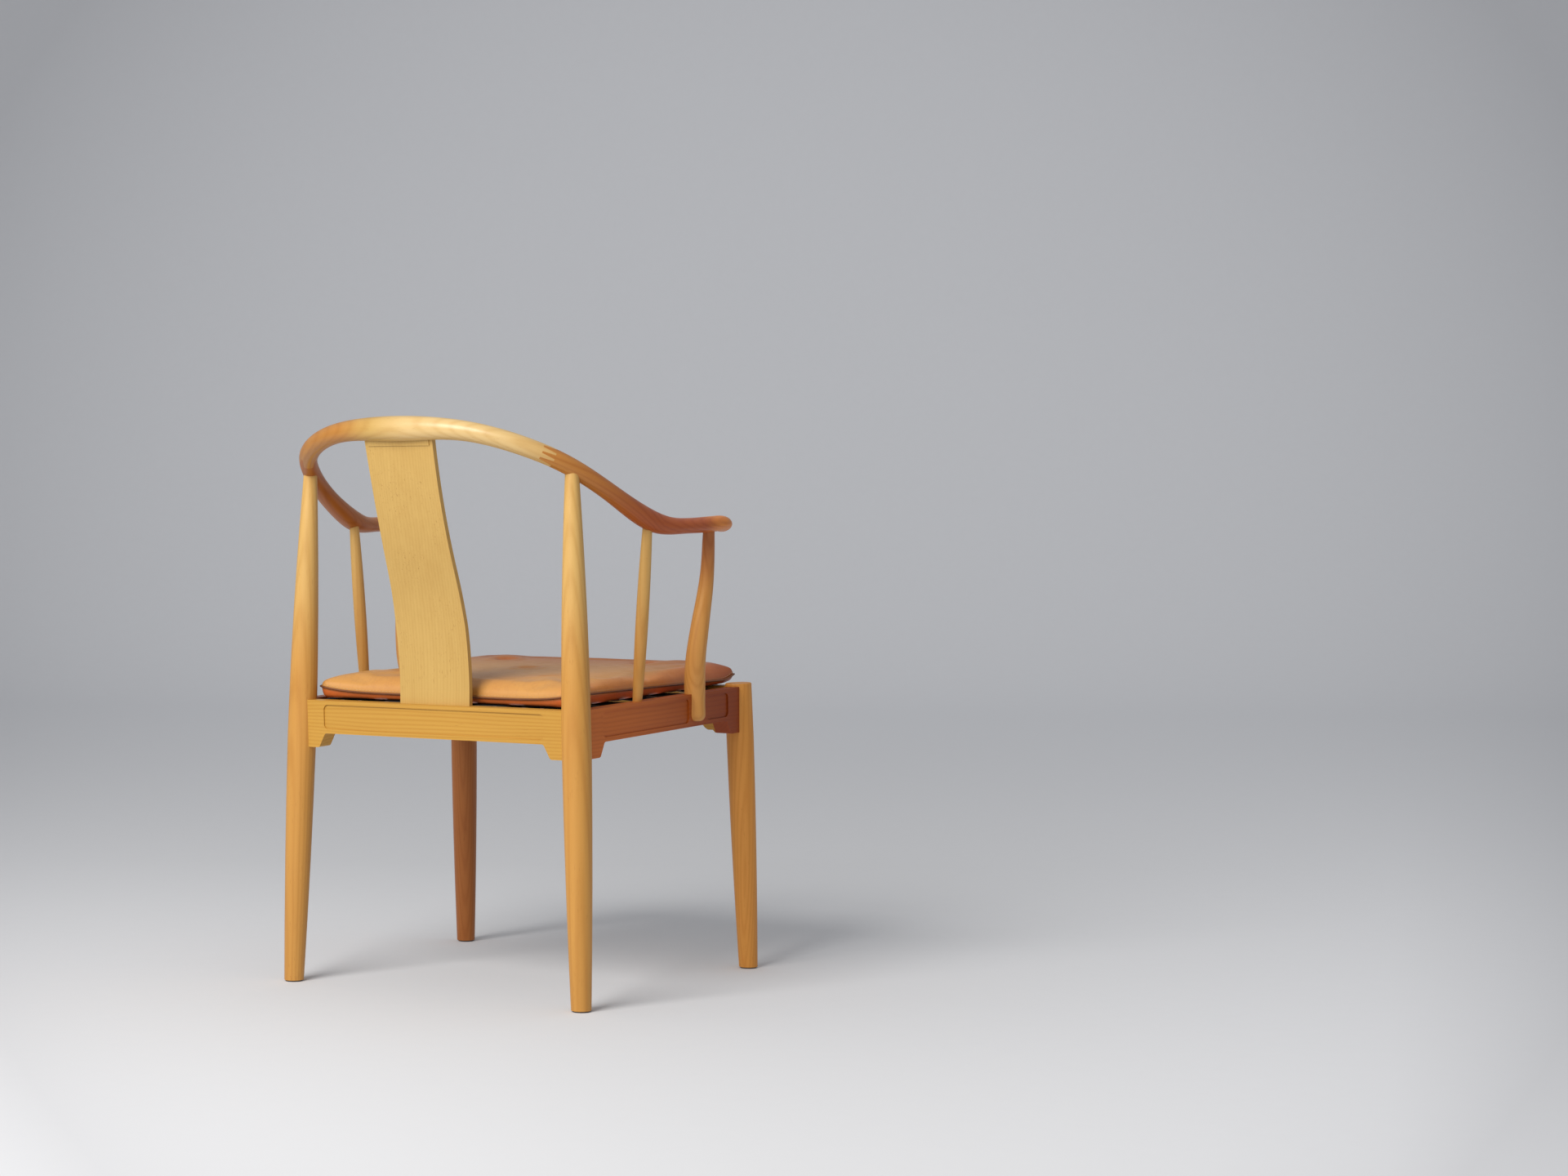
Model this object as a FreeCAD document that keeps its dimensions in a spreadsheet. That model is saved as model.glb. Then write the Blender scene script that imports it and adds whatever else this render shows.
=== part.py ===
"""Horseshoe back armchair in solid wood, with a webbed seat and a loose leather cushion.

Millimetres, +Z up. The origin is on the floor, under the middle of the chair. The
sitter faces -Y. The seat frame is drawn flat and then tipped as one, because the
seat rises towards the front.
"""
import FreeCAD, Part
import Sketcher
import math
import os

Vector = FreeCAD.Vector
Placement = FreeCAD.Placement
Rotation = FreeCAD.Rotation
UP = Vector(0, 0, 1)
ALONG_X = Vector(1, 0, 0)
ALONG_Y = Vector(0, 1, 0)

document = FreeCAD.newDocument("armchair")
sheet = document.addObject("Spreadsheet::Sheet", "Sizes")


class Size:
    """A number together with the spreadsheet formula that it comes from."""

    def __init__(self, value, formula):
        self.value = value
        self.formula = formula

    def __add__(self, other):
        other = as_size(other)
        return Size(self.value + other.value, f"({self.formula} + {other.formula})")

    def __sub__(self, other):
        other = as_size(other)
        return Size(self.value - other.value, f"({self.formula} - {other.formula})")

    def __mul__(self, other):
        other = as_size(other)
        return Size(self.value * other.value, f"({self.formula} * {other.formula})")

    def __truediv__(self, other):
        other = as_size(other)
        return Size(self.value / other.value, f"({self.formula} / {other.formula})")

    def __neg__(self):
        return Size(-self.value, f"(0 - {self.formula})")


def as_size(number):
    """A plain number as a size of its own."""
    if isinstance(number, Size):
        return number
    return Size(number, repr(number))


def root_of_squares(*parts):
    """The length of a diagonal."""
    formula = " + ".join(f"{part.formula}^2" for part in parts)
    return Size(math.hypot(*[part.value for part in parts]), f"sqrt({formula})")


NOTHING = as_size(0)

driving_sizes = (
    # feet and legs
    ("rear_foot_x", 245.3), ("rear_foot_y", 185.9),
    ("front_foot_x", 256.9), ("front_foot_y", -272.5),
    ("foot_radius", 14.0), ("swell_radius", 20.4), ("swell_height", 350.0),
    ("lower_belly", 1.1), ("upper_belly", 2.5), ("post_top_radius", 9.4),
    ("front_top_x", 247.1), ("front_top_y", -250.7),
    ("front_top_radius", 19.7), ("front_top_proud", 4.5), ("rim_round", 2.0),
    ("glide_radius", 12.0), ("glide_thickness", 2.0),
    ("glide_pin_radius", 1.5), ("glide_pin_length", 14.0),
    # seat frame
    ("rear_seat_height", 410.0), ("front_seat_height", 425.9),
    ("rail_height", 47.0), ("rail_thickness", 26.0),
    ("rear_rail_offset", 11.6), ("side_rail_offset", 11.2),
    ("bracket_drop", 20.5), ("bracket_reach", 41.0), ("bracket_slope", 11.0),
    ("bracket_round", 5.0), ("side_bracket_reach", 47.0),
    ("panel_depth", 2.0), ("panel_margin", 6.0), ("panel_round", 7.0),
    ("panel_end_gap", 45.0), ("side_panel_end_gap", 48.5),
    ("post_land_start", 273.0), ("post_land_end", 321.0),
    ("front_bracket_drop", 23.0), ("front_bracket_reach", 56.0),
    ("cusp_step", 4.0), ("cusp_length", 12.0),
    ("tenon_thickness", 10.0), ("tenon_height", 30.0), ("tenon_shoulder", 7.0),
    ("tenon_root", 12.0), ("rear_tenon_stop", 4.0), ("side_tenon_stop", 8.0),
    ("rebate_width", 7.0), ("strap_thickness", 2.5), ("strap_setback", 0.2),
    ("strap_width", 54.0), ("strap_pitch", 77.0), ("strap_end_gap", 0.5),
    ("tack_head_radius", 3.0), ("tack_head_thickness", 0.8),
    ("tack_shank_radius", 0.8), ("tack_length", 9.0), ("tack_spacing", 30.0),
    ("block_height", 30.0), ("block_drop", 7.0),
    ("block_near", 32.0), ("block_far", 78.0),
    ("screw_head_radius", 4.0), ("screw_head_height", 3.0),
    ("screw_radius", 2.0), ("screw_length", 34.0),
    # horseshoe
    ("arm_spread", 275.7), ("crest_y", 271.6), ("arm_run", 428.6),
    ("arm_height", 662.0), ("crest_rise", 127.2),
    ("arm_section_width", 33.0), ("arm_section_height", 34.0),
    ("joint_length", 19.5), ("joint_pitch", 8.4), ("joint_tip", 2.6), ("joint_lift", 4.2),
    ("round_tenon_radius", 5.0), ("round_tenon_depth", 9.0),
    # splat
    ("splat_width", 117.0), ("splat_waist", 109.6), ("splat_top_width", 112.4),
    ("splat_straight_height", 520.0), ("splat_waist_height", 700.0),
    ("splat_thickness", 7.6), ("splat_foot_y", 182.0),
    ("splat_top_y", 269.2), ("splat_top_height", 779.0),
    ("splat_lower_height", 430.0), ("splat_middle_height", 590.0),
    ("tongue_thickness", 4.6), ("tongue_depth", 12.0), ("tongue_margin", 8.0),
    # arm spindles and front arm posts
    ("spindle_distance", 155.4), ("spindle_end_radius", 6.6),
    ("spindle_belly_radius", 9.0), ("spindle_inset", 4.0),
    ("spindle_axis_depth", 12.6),
    ("arm_post_distance", 294.5), ("arm_post_axis_depth", 3.4),
    ("arm_post_radius", 15.2), ("arm_post_top_radius", 8.4),
    ("arm_post_nose", 40.6), ("arm_post_bow", 8.0),
    # seat cushion
    ("cushion_rear_half", 211.0), ("cushion_front_half", 226.0),
    ("cushion_rear_y", 163.0), ("cushion_front_y", -279.0),
    ("cushion_side_draw", 6.0), ("cushion_end_draw", 7.0),
    ("cushion_corner_round", 9.0), ("cushion_height", 37.5),
    ("cushion_seam_height", 15.0), ("cushion_edge_inset", 105.0),
    ("cushion_foot_inset", 30.0), ("cushion_clearance", 0.3),
    ("leather_thickness", 1.4), ("pad_clearance", 0.3),
    ("tuft_side", 122.0), ("tuft_end", 128.0), ("tuft_depth", 9.0),
    ("tuft_radius", 45.0), ("welt_radius", 2.2), ("welt_standoff", 1.0),
    # one overrun serves every cut, and one tolerance every search for an edge
    ("overrun", 10.0), ("search_tolerance", 0.01),
)


def read_sizes():
    """Write each driving size into the sheet and hand it back by name."""
    named = {}
    for row, (name, number) in enumerate(driving_sizes, start=1):
        sheet.set(f"A{row}", name)
        sheet.set(f"B{row}", str(number))
        sheet.setAlias(f"B{row}", name)
        named[name] = Size(number, f"Sizes.{name}")
    return named


size = read_sizes()
document.recompute()
pieces = {}


def finish(name, piece):
    """Name a finished piece. Its label is the name of its file."""
    piece.Label = name
    pieces[name] = piece
    return piece


def bind(owner, name, value):
    """Tie one property of an object to the sheet."""
    value = as_size(value)
    setattr(owner, name, value.value)
    owner.setExpression(name, value.formula)


def new_body(name, placement=None):
    body = document.addObject("PartDesign::Body", name)
    if placement is not None:
        body.Placement = placement
    return body


def new_sketch(body, role):
    """An empty sketch on one of the body's own origin planes."""
    sketch = body.newObject("Sketcher::SketchObject", body.Name + "_outline")
    plane = [item for item in body.Origin.OriginFeatures if item.Role == role][0]
    sketch.AttachmentSupport = [(plane, "")]
    sketch.MapMode = "FlatFace"
    return sketch


def hold_point(sketch, geometry, end, across, up):
    """Fix one end of a line or arc at sizes measured from the sketch's origin."""
    axes = (("DistanceX", across, -2), ("DistanceY", up, -1))
    for kind, measure, axis in axes:
        measure = as_size(measure)
        if measure is NOTHING or measure.value == 0:
            sketch.addConstraint(Sketcher.Constraint("PointOnObject", geometry, end, axis))
        else:
            place = Sketcher.Constraint(kind, -1, 1, geometry, end, measure.value)
            index = sketch.addConstraint(place)
            sketch.setExpression(f"Constraints[{index}]", measure.formula)


def draw_outline(sketch, corners, bulges=None):
    """A closed outline. bulges gives, for the edge after a corner, a point of its arc."""
    bulges = bulges or {}
    corners = [(as_size(across), as_size(up)) for across, up in corners]
    flat = [Vector(across.value, up.value, 0) for across, up in corners]
    ends = []
    for index, start in enumerate(flat):
        stop = flat[(index + 1) % len(flat)]
        if index not in bulges:
            line = sketch.addGeometry(Part.LineSegment(start, stop), False)
            ends.append((line, 1, 2))
            continue
        across, up = bulges[index]
        middle = Vector(across.value, up.value, 0)
        left_turn = (middle - start).cross(stop - middle).z > 0
        curve = Part.Arc(start, middle, stop) if left_turn else Part.Arc(stop, middle, start)
        arc = sketch.addGeometry(curve, False)
        ends.append((arc, 1, 2) if left_turn else (arc, 2, 1))
        point = sketch.addGeometry(Part.Point(middle), True)
        hold_point(sketch, point, 1, across, up)
        sketch.addConstraint(Sketcher.Constraint("PointOnObject", point, 1, arc))
    for index, (line, first, _last) in enumerate(ends):
        before, _first, last = ends[index - 1]
        sketch.addConstraint(Sketcher.Constraint("Coincident", before, last, line, first))
        hold_point(sketch, line, first, *corners[index])


def pad(body, sketch, length, midplane=False):
    """Give an outline its thickness."""
    feature = body.newObject("PartDesign::Pad", body.Name + "_pad")
    feature.Profile = sketch
    bind(feature, "Length", length)
    feature.Midplane = midplane
    sketch.Visibility = False
    return feature


def pocket(body, sketch, depth, reverse=False):
    """Sink an outline into the solid, and check that it cut something."""
    document.recompute()
    before = body.Shape.Volume
    feature = body.newObject("PartDesign::Pocket", body.Name + "_pocket")
    feature.Profile = sketch
    bind(feature, "Length", depth)
    feature.Reversed = reverse
    document.recompute()
    if not body.Shape.Volume < before:
        raise RuntimeError(f"{feature.Name} cut nothing")
    return feature


def round_edges(body, feature, radius, chosen):
    """Round the edges of a feature that the test picks out."""
    document.recompute()
    edges = [f"Edge{number}" for number, edge in enumerate(feature.Shape.Edges, start=1)
             if chosen(edge)]
    if not edges:
        raise RuntimeError(f"{feature.Name} has no edge to round")
    rounding = body.newObject("PartDesign::Fillet", body.Name + "_round")
    rounding.Base = (feature, edges)
    bind(rounding, "Radius", radius)
    document.recompute()
    return rounding


parallel_share = 0.999


def runs_along(edge, direction):
    """True for a straight edge along the given direction."""
    if edge.Curve.TypeId != "Part::GeomLine":
        return False
    return abs(edge.tangentAt(edge.FirstParameter).dot(direction)) > parallel_share


def turned(name, profile, bulges, placement):
    """A turned piece: half its profile is spun about its own upright axis."""
    body = new_body(name, placement)
    sketch = new_sketch(body, "XZ_Plane")
    draw_outline(sketch, profile, bulges)
    spin = body.newObject("PartDesign::Revolution", name + "_spin")
    spin.Profile = sketch
    spin.ReferenceAxis = (sketch, ["V_Axis"])
    spin.Angle = 360.0
    sketch.Visibility = False
    return body


def rod(name, radius, length, placement):
    """A round rod along its own Z."""
    cylinder = document.addObject("Part::Cylinder", name)
    bind(cylinder, "Radius", radius)
    bind(cylinder, "Height", length)
    cylinder.Placement = placement
    return cylinder


def block(name, length, width, height, placement):
    """A plain rectangular block."""
    box = document.addObject("Part::Box", name)
    bind(box, "Length", length)
    bind(box, "Width", width)
    bind(box, "Height", height)
    box.Placement = placement
    return box


def cut(name, base, *tools):
    """What is left of a piece after each tool."""
    for number, tool in enumerate(tools, start=1):
        result = document.addObject("Part::Cut", f"{name}_cut_{number}")
        result.Base = base
        result.Tool = tool
        base = result
    return base


def join(name, *parts):
    """Parts of one piece of wood, as one solid."""
    result = document.addObject("Part::MultiFuse", name + "_joined")
    result.Shapes = list(parts)
    return result


def gather(name, parts):
    """Separate solids that share a node."""
    result = document.addObject("Part::Compound", name + "_set")
    result.Links = list(parts)
    return result


def solid_feature(name, shape):
    """A solid made with Part's own functions."""
    feature = document.addObject("Part::Feature", name)
    feature.Shape = shape
    return feature


def upright_at(place, top):
    """A placement whose Z runs from one point to another."""
    return Placement(place, Rotation(UP, top - place))


def distance(name, first, second):
    """The length between two points given in sizes."""
    return root_of_squares(*[b - a for a, b in zip(first, second)])


def point_of(sizes):
    return Vector(*[as_size(part).value for part in sizes])


def mirrored(sizes, side):
    """The same point on the side asked for: 1 is +X, -1 is -X."""
    return (sizes[0] * side, sizes[1], sizes[2])


SIDES = (("left", 1), ("right", -1))

# The horseshoe: a bent rail through stations. Each share runs from the back of the
# crest to the tip of an arm, so one size stretches the whole curve.
out_shares = (0.0, 0.370, 0.650, 0.7976, 0.882, 0.932, 0.975, 1.0, 0.972)
run_shares = (0.0, 0.0226, 0.1073, 0.2259, 0.3784, 0.5665, 0.7172, 0.8845, 1.0)
rise_shares = (1.0, 0.969, 0.801, 0.5955, 0.328, 0.053, -0.006, 0.020, 0.0266)
width_shares = (0.91, 0.85, 0.82, 0.76, 0.87, 1.0, 0.97, 0.97, 0.94)
height_shares = (1.0, 0.81, 0.77, 0.745, 0.72, 0.855, 0.66, 0.66, 0.654)
last_station = len(out_shares) - 1
post_station = 3
spindle_station = 5
arm_post_station = 7


def station(number):
    """The middle of the rail at one station, on the +X side."""
    return (size["arm_spread"] * out_shares[number],
            size["crest_y"] - size["arm_run"] * run_shares[number],
            size["arm_height"] + size["crest_rise"] * rise_shares[number])


def horseshoe_curve():
    """A smooth line through all the stations, from one tip to the other."""
    right = [point_of(mirrored(station(number), -1)) for number in range(last_station, 0, -1)]
    left = [point_of(station(number)) for number in range(last_station + 1)]
    curve = Part.BSplineCurve()
    parameters = [float(number) for number in range(-last_station, last_station + 1)]
    curve.interpolate(Points=right + left, Parameters=parameters)
    return curve


def between(shares, position):
    """A share read off a smooth line through the stations, level at the first one."""
    lower = min(int(position), len(shares) - 2)
    part = position - lower
    near, far = shares[lower], shares[lower + 1]
    before = shares[abs(lower - 1)]
    after = shares[min(lower + 2, len(shares) - 1)]
    leave, arrive = (far - before) / 2, (after - near) / 2
    eased = part * part * (3 - 2 * part)
    return (near + (far - near) * eased
            + leave * part * (1 - part) ** 2 - arrive * part * part * (1 - part))


def section_axes(curve, position):
    """The sideways and upward directions of the rail's section."""
    tangent = curve.tangent(position)[0]
    sideways = Vector(tangent.y, -tangent.x, 0).normalize()
    return tangent, sideways, sideways.cross(tangent)


SECTION_POINTS = 16
turns = [2 * math.pi * number / SECTION_POINTS for number in range(SECTION_POINTS)]


def oval(centre, across, upward):
    """A closed smooth oval through points, always begun on the same side."""
    points = [centre + across * math.cos(turn) + upward * math.sin(turn) for turn in turns]
    curve = Part.BSplineCurve()
    curve.interpolate(Points=points, PeriodicFlag=True)
    return Part.Wire([curve.toShape()])


def rail_section(curve, position):
    """The rail's oval at one place on its curve."""
    _tangent, sideways, upward = section_axes(curve, position)
    place = abs(position)
    half_width = size["arm_section_width"].value * between(width_shares, place) / 2
    half_height = size["arm_section_height"].value * between(height_shares, place) / 2
    return half_width, half_height, sideways, upward


# How far past the tip, in half heights, the rounded end reaches, and how much it narrows.
tip_reach_shares = (0.30, 0.58, 0.80, 0.93)
tip_narrow_shares = (0.98, 0.90, 0.73, 0.48)
STEPS_PER_STATION = 3


def rounded_tip(curve, end):
    """The narrowing ovals past one tip, the nearest first."""
    position = float(last_station) * end
    tangent, _sideways, _upward = section_axes(curve, position)
    half_width, half_height, sideways, upward = rail_section(curve, position)
    ovals = []
    for reach, narrow in zip(tip_reach_shares, tip_narrow_shares):
        centre = curve.value(position) + tangent * (end * reach * half_height)
        ovals.append(oval(centre, sideways * half_width * narrow, upward * half_height * narrow))
    return ovals


def horseshoe_solid(curve):
    """The whole bent rail, with rounded tips."""
    sections = list(reversed(rounded_tip(curve, -1)))
    count = last_station * STEPS_PER_STATION
    for step in range(-count, count + 1):
        position = step / STEPS_PER_STATION
        half_width, half_height, sideways, upward = rail_section(curve, position)
        sections.append(oval(curve.value(position), sideways * half_width, upward * half_height))
    sections += rounded_tip(curve, 1)
    return Part.makeLoft(sections, True, False)


rail_curve = horseshoe_curve()
horseshoe = solid_feature("horseshoe", horseshoe_solid(rail_curve))

# Where the light crest piece is finger-jointed to each arm, in stations.
joint_station = 2.40


def joint_cutter(name, side):
    """A block over one arm whose near face is the zigzag of the finger joint."""
    position = joint_station * side
    tangent, _sideways, upward = section_axes(rail_curve, position)
    forward = tangent * side
    outward = upward.cross(forward).normalize()
    turning = Rotation(forward, outward, upward, "ZXY")
    body = new_body(name, Placement(rail_curve.value(position), turning))
    sketch = new_sketch(body, "XZ_Plane")
    far = size["arm_run"]
    tip, pitch, half = size["joint_tip"], size["joint_pitch"], size["joint_length"] / 2
    fingers = 3
    corners = [(far, -far), (half, -far)]
    for number in range(-fingers, fingers + 1):
        height = pitch * number + size["joint_lift"]
        corners.append((half, height - tip / 2))
        corners.append((half, height + tip / 2))
        if number < fingers:
            corners.append((-half, height + pitch / 2 - tip / 2))
            corners.append((-half, height + pitch / 2 + tip / 2))
    corners += [(half, far), (far, far)]
    draw_outline(sketch, corners)
    pad(body, sketch, far * 2, midplane=True)
    return body


arm_cutters = {name: joint_cutter(f"arm_cutter_{name}", side) for name, side in SIDES}

# The seat frame's own axes: X across, Y back from the line of the rear posts, Z up from
# the top of the rails. It is tipped about that line, because the seat rises forwards.
rear_top = station(post_station)
rear_foot = (size["rear_foot_x"], size["rear_foot_y"], NOTHING)
front_foot = (size["front_foot_x"], size["front_foot_y"], NOTHING)
rear_share = size["rear_seat_height"] / rear_top[2]
rear_axis_x = rear_foot[0] + (rear_top[0] - rear_foot[0]) * rear_share
rear_axis_y = rear_foot[1] + (rear_top[1] - rear_foot[1]) * rear_share
front_axis = (size["front_top_x"], size["front_top_y"], size["front_seat_height"])
seat_rise = size["front_seat_height"] - size["rear_seat_height"]
seat_run = root_of_squares(rear_axis_y - size["front_top_y"], seat_rise)
seat_tip = math.degrees(math.atan2(seat_rise.value, (rear_axis_y - size["front_top_y"]).value))
seat_frame = Placement(Vector(0, rear_axis_y.value, size["rear_seat_height"].value),
                       Rotation(ALONG_X, -seat_tip))
side_lean = size["front_top_x"] - rear_axis_x
side_length = root_of_squares(side_lean, seat_run)
side_skew = math.degrees(math.atan2(side_lean.value, seat_run.value))


def on_seat(across, back, up, turn=0.0):
    """A place on the seat frame, turned about its own upright axis."""
    place = Vector(as_size(across).value, as_size(back).value, as_size(up).value)
    return seat_frame.multiply(Placement(place, Rotation(UP, turn)))


# Legs. Each is turned about its own leaning axis and then cut level at the glide.
ground = block("ground", size["arm_run"] * 2, size["arm_run"] * 2, size["overrun"] * 2,
               Placement(Vector(-size["arm_run"].value, -size["arm_run"].value,
                                size["glide_thickness"].value - 2 * size["overrun"].value),
                         Rotation()))
lower_middle = (size["foot_radius"] + size["swell_radius"]) / 2 + size["lower_belly"]


def post_shaft(name, side):
    """A rear post from below the floor line up into the arm."""
    foot = mirrored(rear_foot, side)
    top = mirrored(rear_top, side)
    length = distance(name, foot, top) - size["overrun"] / 2
    upper_middle = (size["swell_radius"] + size["post_top_radius"]) / 2 + size["upper_belly"]
    profile = [(NOTHING, -size["overrun"]), (size["foot_radius"], -size["overrun"]),
               (size["foot_radius"], NOTHING), (size["swell_radius"], size["swell_height"]),
               (size["post_top_radius"], length), (NOTHING, length)]
    bulges = {2: (lower_middle, size["swell_height"] / 2),
              3: (upper_middle, (size["swell_height"] + length) / 2)}
    # The seam of the spun surface is kept on the outer side, away from the rails.
    outward = Placement(Vector(), Rotation(UP, 0.0 if side > 0 else 180.0))
    lean = upright_at(point_of(foot), point_of(top))
    return turned(name, profile, bulges, lean.multiply(outward))


def front_shaft(name, side):
    """A front leg with its flat top standing a little proud of the rails."""
    foot = mirrored(front_foot, side)
    top = mirrored(front_axis, side)
    length = distance(name, foot, top) + size["front_top_proud"]
    rim = size["rim_round"]
    profile = [(NOTHING, -size["overrun"]), (size["foot_radius"], -size["overrun"]),
               (size["foot_radius"], NOTHING), (size["swell_radius"], size["swell_height"]),
               (size["front_top_radius"], length - rim),
               (size["front_top_radius"] - rim, length), (NOTHING, length)]
    bulge = rim * (1 - math.sqrt(0.5))
    bulges = {2: (lower_middle, size["swell_height"] / 2),
              4: (size["front_top_radius"] - bulge, length - bulge)}
    return turned(name, profile, bulges, upright_at(point_of(foot), point_of(top)))


rear_shafts = {name: post_shaft(f"rear_post_shaft_{name}", side) for name, side in SIDES}
front_shafts = {name: front_shaft(f"front_leg_shaft_{name}", side) for name, side in SIDES}


def glide(name, foot, side):
    """A nailed disc under a foot."""
    place = point_of(mirrored(foot, side))
    disc = rod(f"glide_disc_{name}", size["glide_radius"], size["glide_thickness"],
               Placement(place, Rotation()))
    pin = rod(f"glide_pin_{name}", size["glide_pin_radius"], size["glide_pin_length"],
              Placement(place, Rotation()))
    return join(f"glide_{name}", disc, pin)


glides = {}
for side_name, side in SIDES:
    glides["rear_" + side_name] = glide(f"rear_{side_name}", rear_foot, side)
    glides["front_" + side_name] = glide(f"front_{side_name}", front_foot, side)
finish("floor_glides", gather("floor_glides", glides.values()))


# Seat rails. Each is drawn along its own X, with its outer face on its own XZ plane
# and its thickness towards -Y.
def rail_plank(name, placement, corners, bulges, panels, rebate_depth, rounds):
    """A rail with its brackets, its sunk panels and the rebate for the straps."""
    body = new_body(name, placement)
    outline = new_sketch(body, "XZ_Plane")
    draw_outline(outline, corners, bulges)
    plank = pad(body, outline, size["rail_thickness"])
    places = [as_size(place).value for place in rounds]
    bottom = -size["rail_height"].value
    lowest = min(as_size(up).value for _across, up in corners)
    tolerance = size["search_tolerance"].value

    def bracket_corner(edge):
        if not runs_along(edge, ALONG_Y):
            return False
        place = edge.Vertexes[0].Point
        below = place.z < bottom + size["rim_round"].value / 2
        return below and any(abs(place.x - across) < tolerance for across in places)

    if places and lowest < bottom:
        round_edges(body, plank, size["bracket_round"], bracket_corner)
    first = min(as_size(across).value for across, _up in corners)
    last = max(as_size(across).value for across, _up in corners)
    for near, far in panels:
        sunk = new_sketch(body, "XZ_Plane")
        top = -size["panel_margin"]
        base = size["panel_margin"] - size["rail_height"]
        draw_outline(sunk, [(near, base), (far, base), (far, top), (near, top)])
        recess = pocket(body, sunk, size["panel_depth"], reverse=True)

        def panel_corner(edge, near=as_size(near).value, far=as_size(far).value):
            if not runs_along(edge, ALONG_Y) or edge.Length > size["panel_depth"].value + tolerance:
                return False
            place = edge.Vertexes[0].Point
            return min(abs(place.x - near), abs(place.x - far)) < tolerance

        round_edges(body, recess, size["panel_round"], panel_corner)
    rebate = new_sketch(body, "XY_Plane")
    inner = -size["rail_thickness"] - size["overrun"]
    edge_line = size["rebate_width"] - size["rail_thickness"]
    low = [pair for pair in corners if as_size(pair[0]).value == first][0][0]
    high = [pair for pair in corners if as_size(pair[0]).value == last][0][0]
    draw_outline(rebate, [(low, inner), (high, inner), (high, edge_line), (low, edge_line)])
    pocket(body, rebate, rebate_depth)
    return body


def end_to_end_corners(near, far, near_reach, far_reach, drop):
    """The outline of a rail with a plain drop bracket at each end."""
    base = -size["rail_height"]
    foot = base - drop
    slope = size["bracket_slope"]
    return [(near, foot), (near + near_reach - slope / 2, foot), (near + near_reach + slope / 2, base),
            (far - far_reach - slope / 2, base), (far - far_reach + slope / 2, foot), (far, foot),
            (far, NOTHING), (near, NOTHING)]


# The long straps lie on the cross straps, so the side rails have the deeper rebate.
long_strap_top = -size["strap_setback"]
long_strap_base = long_strap_top - size["strap_thickness"]
cross_strap_base = long_strap_base - size["strap_thickness"]

rear_corners = end_to_end_corners(-rear_axis_x, rear_axis_x, size["bracket_reach"],
                                  size["bracket_reach"], size["bracket_drop"])
rear_plank = rail_plank(
    "rear_rail_plank", on_seat(NOTHING, size["rear_rail_offset"], NOTHING), rear_corners, {},
    [(size["panel_end_gap"] - rear_axis_x, rear_axis_x - size["panel_end_gap"])],
    -long_strap_base, [corner[0] for corner in rear_corners[1:5]])


# Where the hollow of a front bracket bulges: along its cusp, and down its height.
cusp_hollow_shares = (0.3, 0.7)


def front_outline():
    """The front rail's outline, with a stepped, hollowed bracket at each end."""
    base = -size["rail_height"]
    half = size["front_top_x"]
    foot = base - size["front_bracket_drop"]
    step = foot + size["cusp_step"]
    toe = half - size["front_bracket_reach"] + size["cusp_length"] * 2
    heel = half - size["front_bracket_reach"] + size["cusp_length"]
    rise = half - size["front_bracket_reach"]
    shift = size["cusp_length"] * cusp_hollow_shares[0]
    drop = (step - base) * cusp_hollow_shares[1]
    right = [(half, foot), (toe, foot), (toe - size["cusp_step"], step), (heel, step), (rise, base)]
    left = [(-across, up) for across, up in reversed(right)]
    corners = right + left + [(-half, NOTHING), (half, NOTHING)]
    bulges = {3: (rise + shift, base + drop), 5: (-rise - shift, base + drop)}
    return corners, bulges


front_corners, front_bulges = front_outline()
front_plank = rail_plank(
    "front_rail_plank", on_seat(NOTHING, -seat_run - size["rear_rail_offset"], NOTHING, 180.0),
    front_corners, front_bulges,
    [(size["panel_end_gap"] - size["front_top_x"], size["front_top_x"] - size["panel_end_gap"])],
    -long_strap_base, [])


def side_plank(name, side):
    """A side rail. Its own X starts at the rear post and runs to the front leg."""
    gap = size["side_panel_end_gap"]
    spans = [(gap, size["post_land_start"]), (size["post_land_end"], side_length - gap)]
    corners = end_to_end_corners(NOTHING, side_length, size["side_bracket_reach"],
                                 size["side_bracket_reach"], size["bracket_drop"])
    if side < 0:
        corners = [(-across, up) for across, up in reversed(corners)]
        spans = [(-far, -near) for near, far in spans]
    turn = -90.0 * side + side_skew * side
    skew = Rotation(UP, turn)
    outward = skew.multVec(ALONG_Y) * size["side_rail_offset"].value
    place = Vector(rear_axis_x.value * side, 0, 0) + outward
    placement = seat_frame.multiply(Placement(place, skew))
    rounds = [corner[0] for corner in corners if corner[0] is not NOTHING]
    return rail_plank(name, placement, corners, {}, spans, -cross_strap_base, rounds)


side_planks = {name: side_plank(f"side_rail_plank_{name}", side) for name, side in SIDES}

tenon_level = -size["tenon_shoulder"] - size["tenon_height"]
tenon_inset = size["rear_rail_offset"] - (size["rail_thickness"] + size["tenon_thickness"]) / 2
tenon_length = size["swell_radius"] + size["tenon_root"]


def cross_tenon(name, half, back, side):
    """A tenon on one end of the front or rear rail."""
    start = half - size["rear_tenon_stop"] - tenon_length if side > 0 else size["rear_tenon_stop"] - half
    return block(name, tenon_length, size["tenon_thickness"], size["tenon_height"],
                 on_seat(start, back, tenon_level))


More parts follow.
